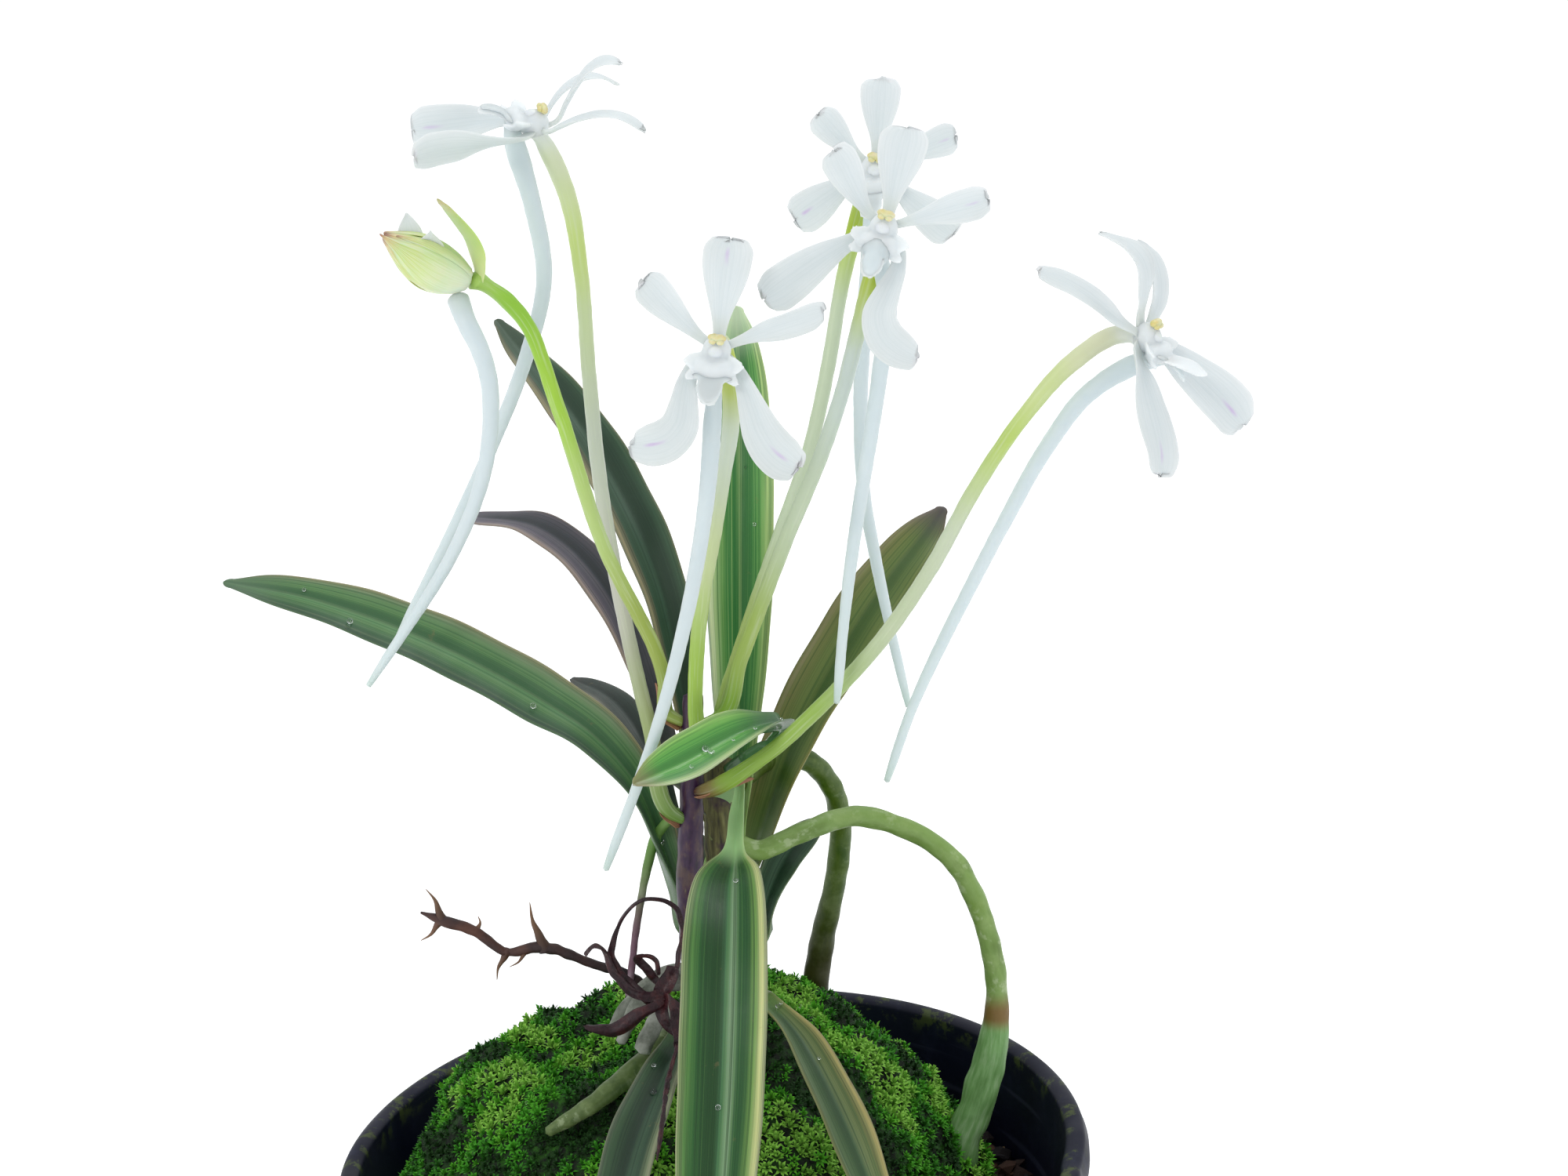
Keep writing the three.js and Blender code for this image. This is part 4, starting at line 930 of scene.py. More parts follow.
def build_roots():
    for k, (name, near) in enumerate((
        ("arching_root", (8, 2, 116)), ("rear_root", (12, 15, 122)), ("lying_root", (-4, 0, 99))
    )):
        path, radius = read_rod(name, np.array(near, float))
        foot, _ = stem_at(path[0][2])
        if name == "lying_root":
            path, radius = path - [0, 0, 0.7], radius * np.linspace(1.0, 0.55, len(radius))
        path = np.vstack([foot, path])
        radius = np.concatenate([[radius[0] * 0.8], radius])
        m = Look(name + "_skin", roughness=0.5, Specular_IOR_Level=0.35, Coat_Weight=0.08, Coat_Roughness=0.4)
        _, along, _ = m.strap()
        long_noise = m.grain(1.6, 11)
        mottle = m.noise(260, 5, rough=0.65)
        green = {
            "arching_root": ("64803a", "7c9a52", "71903f"), "rear_root": ("37570a", "4d6618", "2f4f0c"),
            "lying_root": ("3f5628", "586c3a", "4a5e2c")
        }[name]
        tone = m.ramp(long_noise, "0.3 {} 0.5 {} 0.7 {}".format(*green))
        tone = m.over(tone, "a3b67c", m.span(mottle, 0.45, 0.7), 0.3)
        white = m.maths(
            "MULTIPLY", m.span(m.grain(2.2, 30, 4, 0.6), 0.52, 0.63), m.span(m.noise(90, 2), 0.35, 0.6)
        )
        tone = m.mix(m.maths("MULTIPLY", white, 0.15 if name == "rear_root" else 0.5), tone, "b6c69c")
        if name == "arching_root":
            lower = m.span(along, 0.69, 0.73)
            silver = m.ramp(m.grain(9, 14, 4, 0.6), "0.3 5d8a48  0.5 76a362  0.68 96ba86")
            tone = m.mix(lower, tone, silver)
            joint = m.maths("MULTIPLY", m.span(along, 0.655, 0.69), m.span(along, 0.725, 0.7))
            tone = m.over(tone, "7a5228", joint, 0.85)
        if name == "rear_root":
            tone = m.over(tone, "33260f", m.span(along, 0.6, 0.9), 0.8)
            tone = m.over(tone, "46441f", m.span(along, 0.3, 0.0), 0.55)
        m.colour(tone)
        m.rough(m.span(mottle, 0.3, 0.7, 0.4, 0.62))
        m.bump(m.noise(420, 4), 0.5, 0.22)
        m.bump(m.grain(7, 40), 0.3, 0.15)
        piece(
            name + "_skin", tube(path, radius, step=0.45, around=28, lumps=0.16, grain=0.42, seed=k * 5), m,
            "root", [name]
        )


# ---------------------------------------------------------------- flowers
def petal_look(name, streak=0.0):
    m = Look(
        name, roughness=0.46, Specular_IOR_Level=0.4, Sheen_Weight=0.12, Sheen_Roughness=0.4,
        soft=(0.5, 0.0015, (1.1, 1.2, 1.3))
    )
    across, along, _ = m.strap()
    veins = m.grain(11, 1.3, 3, 0.5)
    cloud = m.noise(120, 3)
    tone = m.mix(m.span(veins, 0.3, 0.75), "c8d0d2", "d2d8da")
    tone = m.over(tone, "d3d7d9", cloud, 0.35)
    edge = m.span(m.maths("ABSOLUTE", across), 0.86, 1.0)
    tone = m.over(tone, "dde2e3", edge, 0.4)
    base = m.span(along, 0.22, 0.0)
    tone = m.over(tone, "cfd5ca", base, 0.4)
    tip = m.maths("MULTIPLY", m.span(along, 0.965, 1.0), m.span(m.noise(400, 2), 0.45, 0.65))
    tone = m.over(tone, "c9bfc6", tip, 0.35)
    if streak:
        line = m.span(
            m.maths("ABSOLUTE", m.maths("ADD", across, m.maths("MULTIPLY_ADD", m.noise(200, 2), 0.3, -0.15))),
            0.14, 0.0
        )
        line = m.maths(
            "MULTIPLY", line, m.maths("MULTIPLY", m.span(along, 0.68, 0.84), m.span(along, 0.93, 0.84))
        )
        tone = m.over(tone, "bd96cf", line, streak)
    m.colour(tone)
    m.bump(veins, 0.3, 0.07)
    m.bump(m.noise(1500, 2), 0.15, 0.03)
    return m


def lip_look(name, glow=0.0):
    m = Look(
        name, roughness=0.45, Specular_IOR_Level=0.3, soft=(0.75, 0.002, (1.1, 1.2, 1.3)),
        Emission_Strength=glow, Emission_Color=srgb("dfe6ec")
    )
    _, along, _ = m.strap()
    cloud = m.noise(260, 3)
    # With a glow, the colour is also a lighter copy of the lip's colour. Both are painted light that lifts the shade
    # between the lip lobes.
    tone = m.mix(cloud, "c5cfd2" if glow == 0 else "cfd5d7", "cfd7d9" if glow == 0 else "dbdfe1")
    tone = m.over(tone, "c3d2cf", m.span(along, 0.5, 0.0), 0.45)
    tone = m.over(tone, "a9bdaf", m.span(along, 0.06, 0.0), 0.6)
    m.colour(tone)
    m.bump(m.grain(7, 20), 0.2, 0.08)
    m.bump(m.noise(1400, 2), 0.15, 0.03)
    return m


# Stalk colours from the rachis (0) to the column's end (1).
STALK_TONES = {
    "front_flower": "0.0 86ae38  0.2 9fbf50  0.45 c3cf9c  0.7 ccd6c6"
    "  0.86 bccb44  0.94 cdd6b4  0.985 d6dde1  1.0 e4e9eb",
    "upper_flower": "0.0 84b036  0.18 9fb65c  0.4 c2cfb4  0.68 c8d3cd"
    "  0.85 b8cb4a  0.93 c8d58c  0.985 d6dde1  1.0 e4e9eb",
    "rear_flower": "0.0 84b036  0.18 a5ba66  0.4 c2cfb4  0.68 c3d0b4"
    "  0.84 b2ca44  0.93 c6d48c  0.985 d6dde1  1.0 e4e9eb",
    "left_flower": "0.0 66883a  0.12 95a46a  0.32 bfbfb2  0.55 c6cdbd  0.7 c6d3a6"
    "  0.8 c4d682  0.92 d2dab8  0.985 dfe4e6  1.0 e4e9eb",
    "right_flower": "0.0 563a2c  0.035 7a6c38  0.08 86a83e  0.2 94b352  0.4 bcc8a6  0.56 c4ceb4"
    "  0.7 b6cc6c  0.8 c6d394  0.9 d4d6b6  0.985 dfe4e6  1.0 e4e9eb",
    "bud": "0.0 8a9c4c  0.2 98a94e  0.45 b2c87c  0.72 a2ca44  0.92 8fc03a  1.0 a4c860",
}


def stalk_look(name, tones):
    m = Look(name, roughness=0.4, Specular_IOR_Level=0.42, soft=(0.25, 0.001, (1.0, 1.1, 0.7)))
    _, along, _ = m.strap()
    wander = m.maths("ADD", along, m.maths("MULTIPLY_ADD", m.noise(110, 2), 0.08, -0.04))
    tone = m.ramp(wander, tones, "EASE")
    streak = m.grain(9, 8)
    tone = m.over(tone, "d3dcc0", m.span(streak, 0.5, 0.7), 0.3)
    m.colour(tone)
    m.bump(m.grain(8, 16), 0.2, 0.08)
    return m


def anther_look():
    m = Look("anther_cap", roughness=0.4, soft=(0.2, 0.001))
    m.colour(m.mix(m.span(m.noise(700, 3), 0.3, 0.7), "e0dcb4", "d9cc84"))
    m.bump(m.noise(1500, 2), 0.2, 0.05)
    return m


def blob(centre, axes, radii, around=20, rows=12, dent=0.0, seed=0):
    """Smooth lump: axes are three directions, radii their reach; dent cuts a groove over the first axis."""
    points, strap = [], []
    for i in range(1, rows):
        a = math.pi * i / rows
        for j in range(around):
            b = TAU * j / around
            d = np.array([math.sin(a) * math.cos(b), math.sin(a) * math.sin(b), math.cos(a)])
            groove = 1 - dent * math.exp(-((d[0] / 0.22) ** 2)) * max(0.0, d[2] + 0.3)
            swell = 1 + 0.07 * noise.noise((d[0] * 2 + seed, d[1] * 2, d[2] * 2))
            points.append(
                centre
                + (
                    axes[0] * d[0] * radii[0] + axes[1] * d[1] * radii[1] + axes[2] * d[2] * radii[2]
                ) * groove * swell
            )
            strap.append((d[0], i / rows, 0))
    rings = np.array(points).reshape(rows - 1, around, 3)
    shape, faces = loft(rings, centre + axes[2] * radii[2] * (1 - dent), centre - axes[2] * radii[2])
    return shape, faces, np.vstack([strap, [[0, 0, 0], [0, 1, 0]]])


def flap(keys, side, face, halves, thick, lift=0.0, seed=0, ragged=0.0, blunt=1.0):
    """A small blade through key points."""
    keys = np.asarray(keys, float)
    n = len(keys)
    strap = Strap(keys, [side] * n, [face] * n, halves, [lift] * n, np.linspace(thick, thick * 0.6, n))
    return strap.mesh(step=0.25, around=24, crease=1.6, keel=0.05, ragged=ragged, seed=seed, blunt=blunt)


STREAKS = {
    "front_flower_dorsal_sepal": 0.45,
    "front_flower_left_lateral_sepal": 0.6,
    "front_flower_right_lateral_sepal": 0.5,
    "rear_flower_left_lateral_sepal": 0.6,
    "rear_flower_right_petal": 0.3,
    "right_flower_right_lateral_sepal": 0.6,
    "right_flower_left_lateral_sepal": 0.4,
    "left_flower_left_lateral_sepal": 0.4,
    "upper_flower_right_petal": 0.3,
}


class Bloom:
    """A flower's centre and directions, read from its CAD tepals."""

    def __init__(self, name):
        end = read_rings(name + "_stalk_and_column", MID_RACHIS)[2]
        tepals = {}
        for part in ("dorsal_sepal", "left_petal", "right_petal", "left_lateral_sepal", "right_lateral_sepal"):
            tepals[part] = Strap.read(f"{name}_{part}", end)
        base = {
            part: read_rings(f"{name}_{part}", end)[0] for part in ("dorsal_sepal", "left_petal", "right_petal")
        }
        d, l, r = (base[k] for k in ("dorsal_sepal", "left_petal", "right_petal"))
        self.right = unit(r - l)
        self.top = unit(d - (l + r) / 2)
        self.facing = np.cross(self.right, self.top)
        self.centre = d - 2.2 * self.top + 0.4 * self.facing
        self.tepals = tepals

    def spot(self, out, up, right=0.0):
        return self.centre + self.facing * out + self.top * up + self.right * right


def build_flowers():
    cap = anther_look()
    bract_spots = []
    for k, name in enumerate(("front_flower", "upper_flower", "rear_flower", "left_flower", "right_flower")):
        bloom = Bloom(name)
        for j, (part, strap) in enumerate(bloom.tepals.items()):
            c, _, _, h, l, t = strap.keys
            inner = bloom.centre + (c[0] - bloom.centre) * 0.25 - bloom.facing * 0.5
            if name == "left_flower" and "lateral" not in part:
                strap.keys[3], strap.keys[4] = h * 0.55, l * 0.5
                h, l = strap.keys[3:5]
            if name == "right_flower":
                narrow = {
                    "left_petal": (0.85, 0.5), "left_lateral_sepal": (1.5, 0.9),
                    "right_lateral_sepal": (1.7, 1.0)
                }
                h = strap.keys[3] = h * np.linspace(*narrow.get(part, (1.2, 1.0)), len(h))
            strap.before([
                (inner, h[0] * 0.9, l[0], t[0] * 1.5), ((inner + c[0]) / 2, h[0] * 0.92, l[0], t[0] * 1.3)
            ])
            full = f"{name}_{part}"
            wave = 0.1 if name == "left_flower" else 0.36
            shape = strap.mesh(
                step=0.32, around=36, crease=1.5, keel=0.1, wave=wave, ragged=0.5, seed=k * 5 + j, blunt=1.25
            )
            piece(full + "_blade", shape, petal_look(full + "_skin", STREAKS.get(full, 0.0)), "tepal", [full])

        # Lip and spur: the CAD rings, refined, with the mid lobe's groove and two side lobes.
        node = name + "_lip_and_spur"
        _, rings, _ = read_rings(node, bloom.spot(-12, -60))
        centre = rings.mean(1)
        wide, low = rings[:, 0] - rings[:, 4], rings[:, 2] - rings[:, 6]
        if np.linalg.norm(wide[10]) < np.linalg.norm(low[10]):
            wide, low = low, wide
        half, high = np.linalg.norm(wide, axis=1) / 2, np.linalg.norm(low, axis=1) / 2
        shape = tube(
            centre, half, step=0.4, around=24, side=bloom.right, squash=high, lumps=0.05, grain=1.2, seed=k
        )
        piece(node + "_skin", shape, lip_look(node + "_skin"), "lip_and_spur", [node])

        axes = (bloom.right, bloom.facing, bloom.top)
        parts = [blob(bloom.spot(0.1, -0.1), axes, (1.6, 1.7, 1.75), seed=k)]
        for sign in (-1, 1):
            out = unit(bloom.right * sign + bloom.top * 0.5)
            face = unit(bloom.facing + bloom.top * 0.6 - bloom.right * sign * 0.3)
            edge = unit(np.cross(out, face))
            for row, (up, reach, rise) in enumerate(((-1.5, 3.0, 0.35), (-2.4, 2.7, -0.35))):
                keys = [
                    bloom.spot(0.6 + 1.1 * t, up + rise * t, sign * (0.8 + (reach - 0.8) * t))
                    for t in (0, 0.4, 0.75, 1.0)
                ]
                parts.append(flap(
                    keys, edge, face, [0.95, 1.2, 1.15, 0.7], 0.8, lift=0.2, seed=k * 3 + sign + row, ragged=0.4
                ))
            parts.append(blob(bloom.spot(1.3, -1.9, sign * 1.1), axes, (1.3, 1.0, 1.05), seed=k + sign))
        parts.append(blob(bloom.spot(1.7, -2.1), axes, (1.6, 1.05, 1.15), dent=0.12, seed=k))
        tongue = ((1.9, -2.6), (2.7, -3.3), (3.3, -4.3), (3.5, -5.3))
        halves = [1.15, 1.3, 1.35, 0.95]
        if name == "right_flower":
            tongue = ((1.6, -2.3), (3.2, -2.8), (4.8, -3.5), (6.2, -4.6))
            halves = [1.5, 1.9, 2.0, 1.3]
        tongue, face = [bloom.spot(*at) for at in tongue], unit(bloom.facing + bloom.top * 0.6)
        parts.append(flap(tongue, bloom.right, face, halves, 0.8, lift=-0.3, seed=k, ragged=0.4))
        points, faces = fused(parts, LIP_VOXEL, 5)
        strap = np.tile((0.0, 1.0, 0.0), (len(points), 1))
        piece(
            name + "_lip_lobes", (points, faces, strap), lip_look(name + "_lip_lobes", LIP_GLOW), "lip_and_spur"
        )

        # Stalk and column.
        node = name + "_stalk_and_column"
        path, radius, *spot = read_stalk(node)
        shape = tube(path, radius, step=0.45, around=22, lumps=0.05, grain=0.8, seed=k * 2)
        piece(node + "_skin", shape, stalk_look(node + "_skin", STALK_TONES[name]), "flower_stalk", [node])

        parts = [blob(bloom.spot(1.55, 1.45), axes, (1.02, 0.6, 0.5), dent=0.22, seed=k)]
        for side, seed in ((-0.42, k + 2), (0.42, k + 4)):
            parts.append(blob(bloom.spot(1.8, 1.05, side), axes, (0.42, 0.36, 0.34), seed=seed))
        piece(name + "_anther_cap", joined(parts), cap, "flower_stalk")
        bract_spots.append((*spot, name))
    return bract_spots


def build_bud():
    end = read_rings("bud_stalk", MID_RACHIS)[2]
    path, radius = read_rod("bud_body", end)
    ahead = unit(path[-1] - path[0])
    sepal = Strap.read("bud_open_sepal", end)
    top = sepal.keys[0].mean(0) - path.mean(0)
    top = unit(top - ahead * np.dot(top, ahead))
    side = np.cross(ahead, top)
    m = Look("bud_skin", roughness=0.42, Specular_IOR_Level=0.4, soft=(0.25, 0.001))
    _, along, _ = m.strap()
    veins = m.grain(12, 2)
    tone = m.ramp(along, "0.0 e6e6cf  0.2 dfe6c0  0.5 cddb94  0.78 c3cf7c  0.93 c7b274  1.0 8b4a35")
    tone = m.over(tone, "eef0dc", m.span(veins, 0.4, 0.68), 0.5)
    tone = m.over(tone, "c59ac0", m.span(m.noise(160, 2), 0.62, 0.72), 0.3)
    m.colour(tone)
    m.bump(veins, 0.3, 0.15)
    shape = tube(path, radius * 0.97, step=0.3, around=40, side=side, lumps=0.06, grain=0.35, seed=4)
    parts = [shape]
    # Sepals wrapped over the closed petals.
    total = np.linalg.norm(path[-1] - path[0])
    for turn, reach, wide in ((-100, 1.0, 2.1), (20, 0.96, 1.9), (140, 0.92, 2.0), (-40, 0.86, 1.2)):
        a = math.radians(turn)
        out = top * math.cos(a) + side * math.sin(a)
        over = np.cross(ahead, out)
        keys, halves = [], []
        for u, w in ((0.02, 0.5), (0.2, 0.85), (0.45, 1.0), (0.7, 0.75), (0.9, 0.4), (1.03, 0.16)):
            u2 = min(u * reach, 1.0)
            c = eased(lengths(path), path, [u2 * lengths(path)[-1]])[0]
            r = eased(lengths(path), radius, [u2 * lengths(path)[-1]])[0]
            keys.append(c + out * (r * 0.98 + 0.05) + ahead * max(0.0, u * reach - 1) * total)
            halves.append(wide * w * min(1, r / 2.2 + 0.25))
        strap = Strap(keys, [over] * 6, [out] * 6, halves, [-h * 0.42 for h in halves], [0.42] * 6)
        parts.append(strap.mesh(step=0.3, around=28, crease=1.8, keel=0.1, wave=0.05, seed=turn))
    # Points of the petals standing out of the opening side.
    tips = []
    for u, lean, long in ((0.45, -0.5, 1.9), (0.66, 0.45, 2.3)):
        c = eased(lengths(path), path, [u * lengths(path)[-1]])[0]
        r = eased(lengths(path), radius, [u * lengths(path)[-1]])[0]
        go = unit(top + ahead * 0.7 + side * lean)
        keys = [c + go * reach for reach in (r * 0.4, r + long * 0.2, r + long * 0.6, r + long * 0.85)]
        over = unit(ahead - go * np.dot(ahead, go))
        tips.append(flap(keys, over, unit(np.cross(go, over)), [1.7, 1.35, 0.7, 0.2], 0.35, lift=0.3, seed=u))
    piece("bud_petal_tips", joined(tips), petal_look("bud_petal_tips"), "bud")
    parts = [
        (p, f, s if i == 0 else np.stack([np.abs(s[:, 0]), s[:, 1], s[:, 2]], 1)) for i,
        (p, f, s) in enumerate(parts)
    ]
    piece("bud_body_skin", joined(parts), m, "bud", ["bud_body"])

    g = Look("bud_sepal_skin", roughness=0.45, soft=(0.15, 0.001))
    _, along, under = g.strap()
    tone = g.ramp(along, "0.0 cfe08e  0.4 a6cd50  0.8 98bf48  1.0 b0a868")
    g.colour(g.over(tone, "e4ecc8", under, 0.3))
    g.bump(g.grain(12, 2), 0.3, 0.12)
    c, _, _, h, l, t = sepal.keys
    sepal.keys[3] = h * 3.0
    sepal.keys[0] = c - top * (0.5 * np.linspace(1, 0, len(c)))[:, None]
    c = sepal.keys[0]
    sepal.before([(c[0] - unit(c[1] - c[0]) * 1.6 - top * 0.4, h[0], l[0], t[0])])
    piece(
        "bud_open_sepal_skin", sepal.mesh(step=0.3, around=28, crease=1.5, keel=0.15, wave=0.1, seed=2), g,
        "bud", ["bud_open_sepal"]
    )

    path, radius = read_rod("bud_spur", np.array([-36, 4, 139.0]))
    piece(
        "bud_spur_skin", tube(path, radius, step=0.45, around=20, lumps=0.05, grain=0.8, seed=6),
        lip_look("bud_spur_skin"), "lip_and_spur", ["bud_spur"]
    )

    path, radius, *spot = read_stalk("bud_stalk")
    path, radius = np.vstack([path, path[-1] + ahead * 0.8]), np.append(radius, radius[-1] * 1.3)
    piece(
        "bud_stalk_skin", tube(path, radius, step=0.45, around=20, lumps=0.05, grain=0.8, seed=9),
        stalk_look("bud_stalk_skin", STALK_TONES["bud"]), "flower_stalk", ["bud_stalk"]
    )
    return *spot, "bud"


def build_bracts(spots):
    m = Look("bract_skin", roughness=0.6)
    _, along, _ = m.strap()
    streak = m.grain(9, 3)
    m.colour(m.mix(m.span(streak, 0.35, 0.65), m.mix(along, "8a5a44", "6a3a30"), "b98a68"))
    m.bump(streak, 0.4, 0.15)
    parts = []
    for start, heading, near, name in spots:
        out = start - near
        out = unit(out - np.array([0, 0, out[2]]))
        low = unit(np.array([0, 0, -1.0]) + heading * heading[2])
        low = unit(low + out * 0.35)
        reach = 4.6 if name == "right_flower" else 3.0
        keys = [
            near + out * 0.9 + low * 0.5, start + low * 0.75, start + heading * reach * 0.5 + low * 1.15, start
            + heading * reach + low * 1.5
        ]
        side = unit(np.cross(heading, low))
        parts.append(flap(keys, side, unit(-low), [1.3, 1.25, 0.8, 0.15], 0.3, lift=0.5, seed=len(parts)))
    piece("bracts", joined(parts), m, "rachis")


# ---------------------------------------------------------------- dried flower, twig
def build_dry():
    m = Look("dried_petals", roughness=0.5, Specular_IOR_Level=0.4)
    crease = m.noise(520, 4, rough=0.7)
    tone = m.ramp(crease, "0.3 12060c  0.5 2c0f18  0.68 471e20  0.82 74442e")
    m.colour(tone)
    m.rough(m.span(crease, 0.3, 0.7, 0.55, 0.35))
    m.bump(crease, 0.9, 0.35)
    ribbons = (
        (
            ((-2.4, -8.6, 40), (-3.6, -9.6, 37.4), (-3.4, -11, 34.6), (-1.2, -12.4, 32.4)),
            (0.7, 1.1, 1.2, 0.7), 40
        ),
        (
            (
                (-2.6, -8.8, 39), (-1.2, -7, 43), (-1.8, -6.4, 46.2), (-5.2, -7, 47.7), (-8.3, -8, 44.6),
                (-8.9, -8.6, 40.4), (-5.6, -10, 36.8)
            ),
            (0.4, 0.4, 0.36, 0.4, 0.45, 0.5, 0.6), 120
        ),
        (
            ((-3.4, -10, 37), (-6.4, -10.4, 37.4), (-9, -9.6, 40), (-11, -9, 43.4), (-12.2, -8.6, 42.4)),
            (0.7, 0.55, 0.45, 0.6, 0.3), -150
        ),
        (
            ((-3.2, -9.6, 36), (-5.2, -8.8, 39.4), (-6.2, -9.6, 41.8), (-4.6, -10.4, 42), (-4, -10.2, 40)),
            (0.6, 0.6, 0.5, 0.4, 0.25), 170
        ),
        (
            ((-3.4, -10.4, 36.4), (-6.8, -11.4, 35.2), (-9.6, -12, 34.2), (-12.6, -12.2, 35)),
            (0.8, 0.95, 0.8, 0.35), 90
        ),
        (
            ((-3, -10.8, 35.4), (-1, -12.4, 33.6), (0.8, -13.4, 30.8), (2, -13.8, 29.2)), (0.9, 1.1, 0.8, 0.35),
            -80
        ),
        (
            ((-3.4, -10.6, 37.6), (-2.6, -11.4, 35.8), (-2.2, -12.6, 33.4), (-2.5, -13.6, 31.6)),
            (0.5, 0.9, 0.8, 0.3), 150
        ),
    )
    parts = []
    for k, (keys, halves, turn) in enumerate(ribbons):
        keys = on_medium(keys)
        line = lengths(keys)
        places = np.linspace(0, line[-1], 3 * len(keys))
        centre = eased(line, keys, places)
        centre = centre + np.array([[noise.noise((p * 0.5, k, c)) * 0.35 for c in (0, 3, 6)] for p in places])
        ahead = unit(np.gradient(centre, axis=0))
        angle = np.radians(turn * places / line[-1] + 40 * k)[:, None]
        flat = unit(np.cross(ahead, [0.2, 0.9, 0.35]))
        side = flat * np.cos(angle) + np.cross(ahead, flat) * np.sin(angle)
        face = np.cross(ahead, side)
        half = eased(line, halves, places)
        strap = Strap(centre, side, face, half, half * 0.55, [0.3] * len(places))
        parts.append(strap.mesh(
            step=0.22, around=22, crease=1.2, keel=0.25, wave=0.22, ragged=0.35, seed=k * 2.3, ribs=0.05
        ))
    thread = on_medium([
        (-2.4, -13.6, 32.4), (-3.2, -16.4, 31.2), (-3.7, -20, 30.8), (-4.0, -24.6, 30.3), (-4.4, -28, 28.9),
        (-5.0, -30.4, 26.8)
    ])
    parts.append(tube(
        thread, [0.3, 0.24, 0.34, 0.22, 0.3, 0.12], step=0.3, around=10, lumps=0.5, grain=1.4, seed=12
    ))
    piece("dried_flower_skin", joined(parts)[:2], m, "dried_flower", ["dried_flower"])

    w = Look("thorn_wood", roughness=0.6)
    grain = w.noise(600, 4, rough=0.65)
    bark = w.ramp(w.noise(160, 3), "0.35 180c10  0.5 301a1a  0.66 553226")
    w.colour(w.over(bark, "8d6a4a", w.value("thorn"), 0.8))
    w.bump(grain, 0.5, 0.2)
    stem = on_medium([
        (-6.4, 1.6, 33), (-7.6, 1.4, 34.4), (-12.4, 0.4, 37.2), (-18.1, 0, 39.9), (-22, 0, 39.6),
        (-25.6, 0, 42.6), (-29.6, 0, 44.4), (-31.6, 0.4, 45.2)
    ])
    parts = [tube(
        stem, [0.66, 0.62, 0.55, 0.68, 0.52, 0.6, 0.55, 0.14], step=0.25, around=18, lumps=0.25, grain=0.8,
        seed=3
    )]
    thorn = [np.zeros(len(parts[0][0]))]
    for k, (foot, tip, wide) in enumerate((
        ((-17.6, 0, 39.8), (-18.8, 0, 45.6), 0.85), ((-22, 0, 39.6), (-23.6, 0.4, 36), 0.6), (
            (-19.6, 0, 39.8), (-21.8, -1.2, 38.2), 0.45
        ),
        ((-25.4, 0, 42.4), (-25, 0.4, 44.2), 0.5), ((-29.4, 0, 44.2), (-32, 0.6, 41.6), 0.6), (
            (-29.2, 0, 44.2), (-30.6, -0.4, 48.4), 0.7
        ),
    )):
        foot, tip = on_medium(foot), on_medium(tip)
        bend = unit(np.cross(tip - foot, [0, 1, 0])) * 0.35 * (-1) ** k
        keys = [
            foot - (tip - foot) * 0.06, foot + (tip - foot) * 0.25 + bend * 0.4, foot + (tip - foot) * 0.6
            + bend, tip
        ]
        parts.append(tube(
            keys, [wide, wide * 0.62, wide * 0.3, 0.04], step=0.2, around=14, lumps=0.15, grain=1.0, seed=k
        ))
        thorn.append(parts[-1][2][:, 1])
    piece("thorny_twig_skin", joined(parts), w, "twig", ["thorny_twig"], thorn=np.concatenate(thorn))


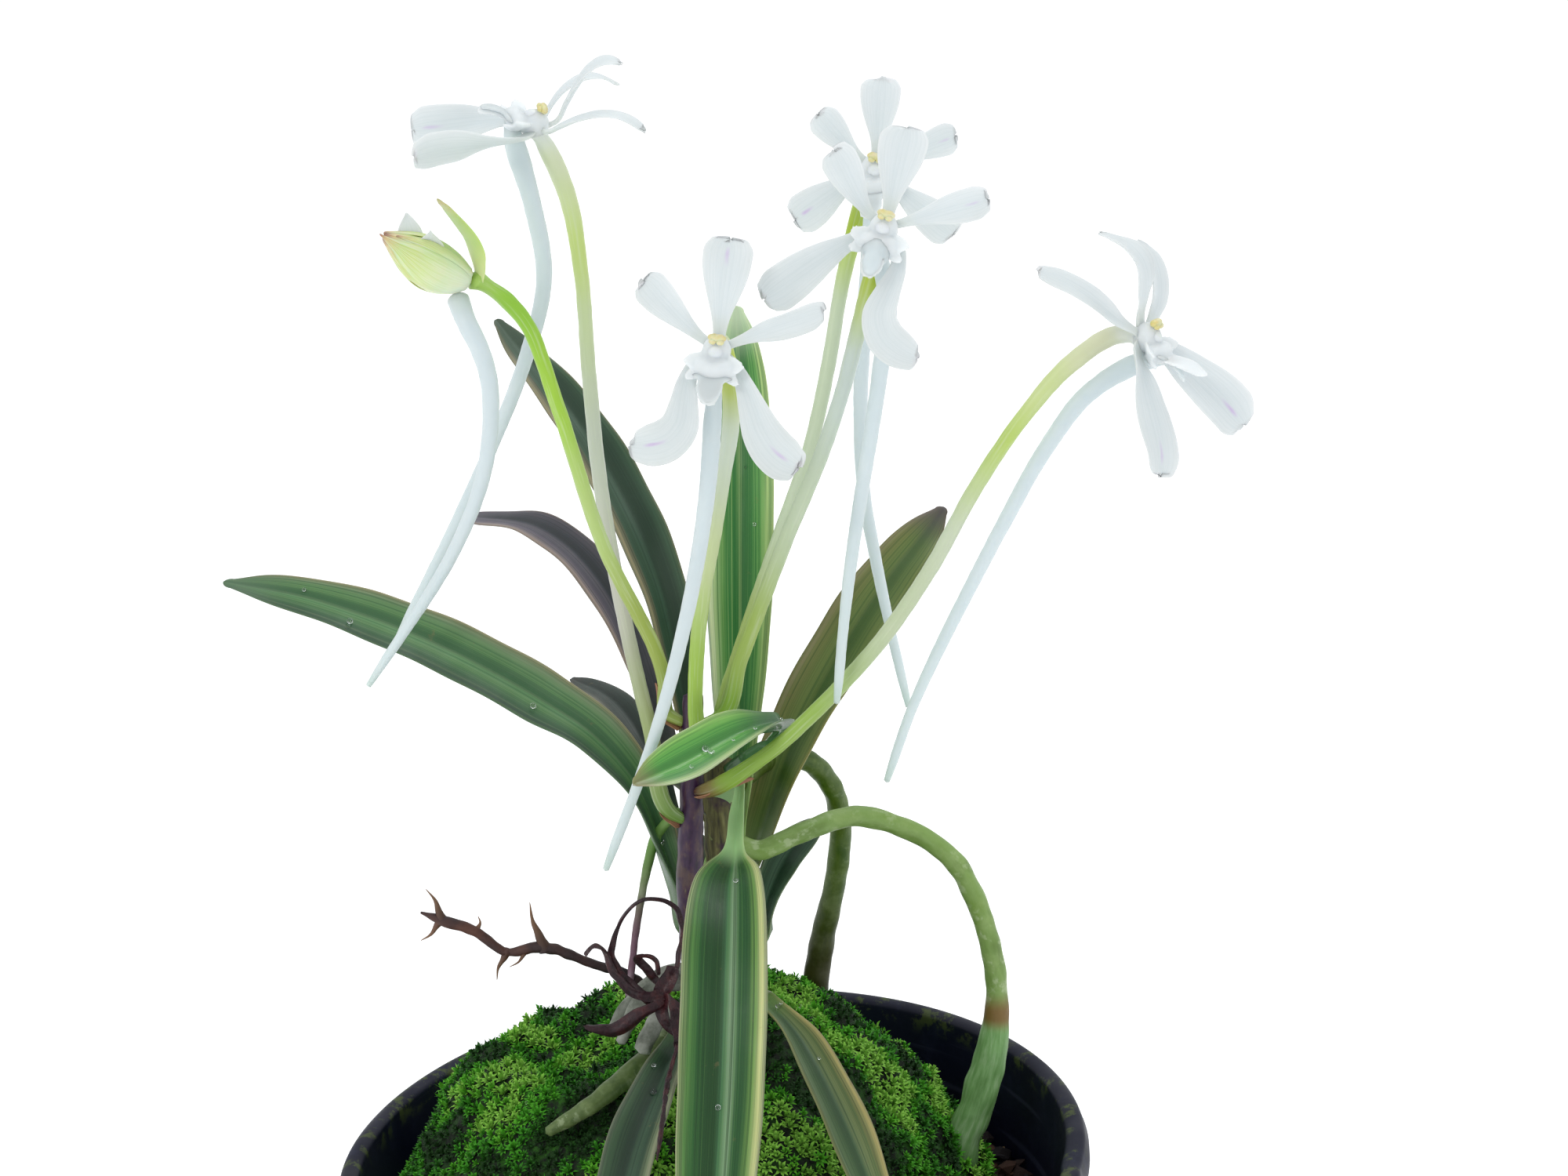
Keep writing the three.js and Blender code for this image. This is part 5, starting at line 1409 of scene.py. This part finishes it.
def build_litter():
    """The pale old root ends behind the dried flower, and a thin strand beside the rachis."""
    m = Look("old_velamen", roughness=0.75)
    cloud = m.noise(220, 5, rough=0.7)
    m.colour(m.ramp(cloud, "0.3 3f4438  0.45 6e7368  0.62 969a90  0.75 b4b7ae"))
    m.bump(cloud, 0.8, 0.4)
    parts = []
    for k, keys in enumerate((
        ((-2.4, -1.0, 34.6), (-4.6, -2.4, 35.0), (-7.2, -4.4, 33.2), (-9.4, -6.8, 30.2)),
        ((-1.6, 0.8, 35.2), (-4.4, 0.4, 34.6), (-8.0, -1.0, 32.4), (-10.4, -2.2, 30.0)),
        ((-2.8, -4.6, 33.0), (-5.0, -7.0, 32.4), (-6.8, -9.4, 30.2)),
    )):
        parts.append(tube(
            on_medium(keys), [1.0, 1.1, 1.0, 0.6][: len(keys)], step=0.4, around=20, lumps=0.25, grain=0.55,
            seed=30 + k
        ))
    piece("old_root_ends", joined(parts), m, "root")

    n = Look("thin_strand", roughness=0.5)
    _, along, _ = n.strap()
    blotch = n.span(n.noise(180, 3), 0.4, 0.6)
    n.colour(n.mix(
        n.span(along, 0.2, 0.75), n.mix(blotch, "5f8a3a", "7fa45c"), n.mix(blotch, "6b4a5a", "93808a")
    ))
    n.bump(n.noise(500, 3), 0.4, 0.12)
    keys = on_medium([
        (-0.6, 2.6, 54.6), (-3.3, 4.0, 51.6), (-5.4, 3.0, 46.0), (-6.8, 2.0, 40.6), (-7.9, 1.0, 35.2),
        (-8.4, 0.6, 32.6)
    ])
    piece(
        "thin_strand",
        tube(keys, [0.5, 0.62, 0.5, 0.45, 0.42, 0.4], step=0.4, around=16, lumps=0.2, grain=0.7, seed=41), n,
        "root"
    )


def build_drops(spots, ways, straps):
    """Beads of water: on the moss, and on the upper face of some leaves."""
    m = Look("water", roughness=0.03, IOR=1.33, Transmission_Weight=1.0, Specular_IOR_Level=0.5)
    m.colour(m.mix(m.noise(200, 2), "f4faf8", "ffffff"))
    m.bump(m.noise(700, 2), 0.05, 0.02)
    rand = np.random.default_rng(77)
    parts = []

    def bead(spot, way, size):
        side = unit(np.cross(way, [0.3, 0.2, 0.9]))
        parts.append(blob(
            spot + way * size * 0.45, (side, np.cross(way, side), way), (size, size, size * 0.75), around=14,
            rows=8, seed=len(parts)
        ))

    for i in rand.choice(len(spots), MOSS_DROPS, replace=False):
        bead(spots[i] + ways[i] * 0.7, ways[i], rand.uniform(0.18, 0.42))
    for name, count in (
        ("leaf_curled", 9), ("leaf_front", 5), ("leaf_big_left", 5), ("leaf_lower_left", 4),
        ("leaf_lower_right", 3), ("leaf_upright", 3)
    ):
        c, s, f, h, l, t = straps[name].keys
        for _ in range(count):
            i = int(rand.integers(4, len(c) - 2))
            v = rand.uniform(-0.6, 0.6)
            spot = c[i] + s[i] * h[i] * v + f[i] * (l[i] * abs(v) ** 1.18 + t[i] * 0.42)
            bead(spot, f[i], rand.uniform(0.18, 0.42))
    piece("water_drops", joined(parts), m)


set_stage()
build_medium(build_pot())
shoot_spots, shoot_ways = build_moss()
straps = build_leaves()
build_stems()
build_roots()
spots = build_flowers()
spots.append(build_bud())
build_bracts(spots)
build_dry()
build_litter()
build_drops(shoot_spots, shoot_ways, straps)
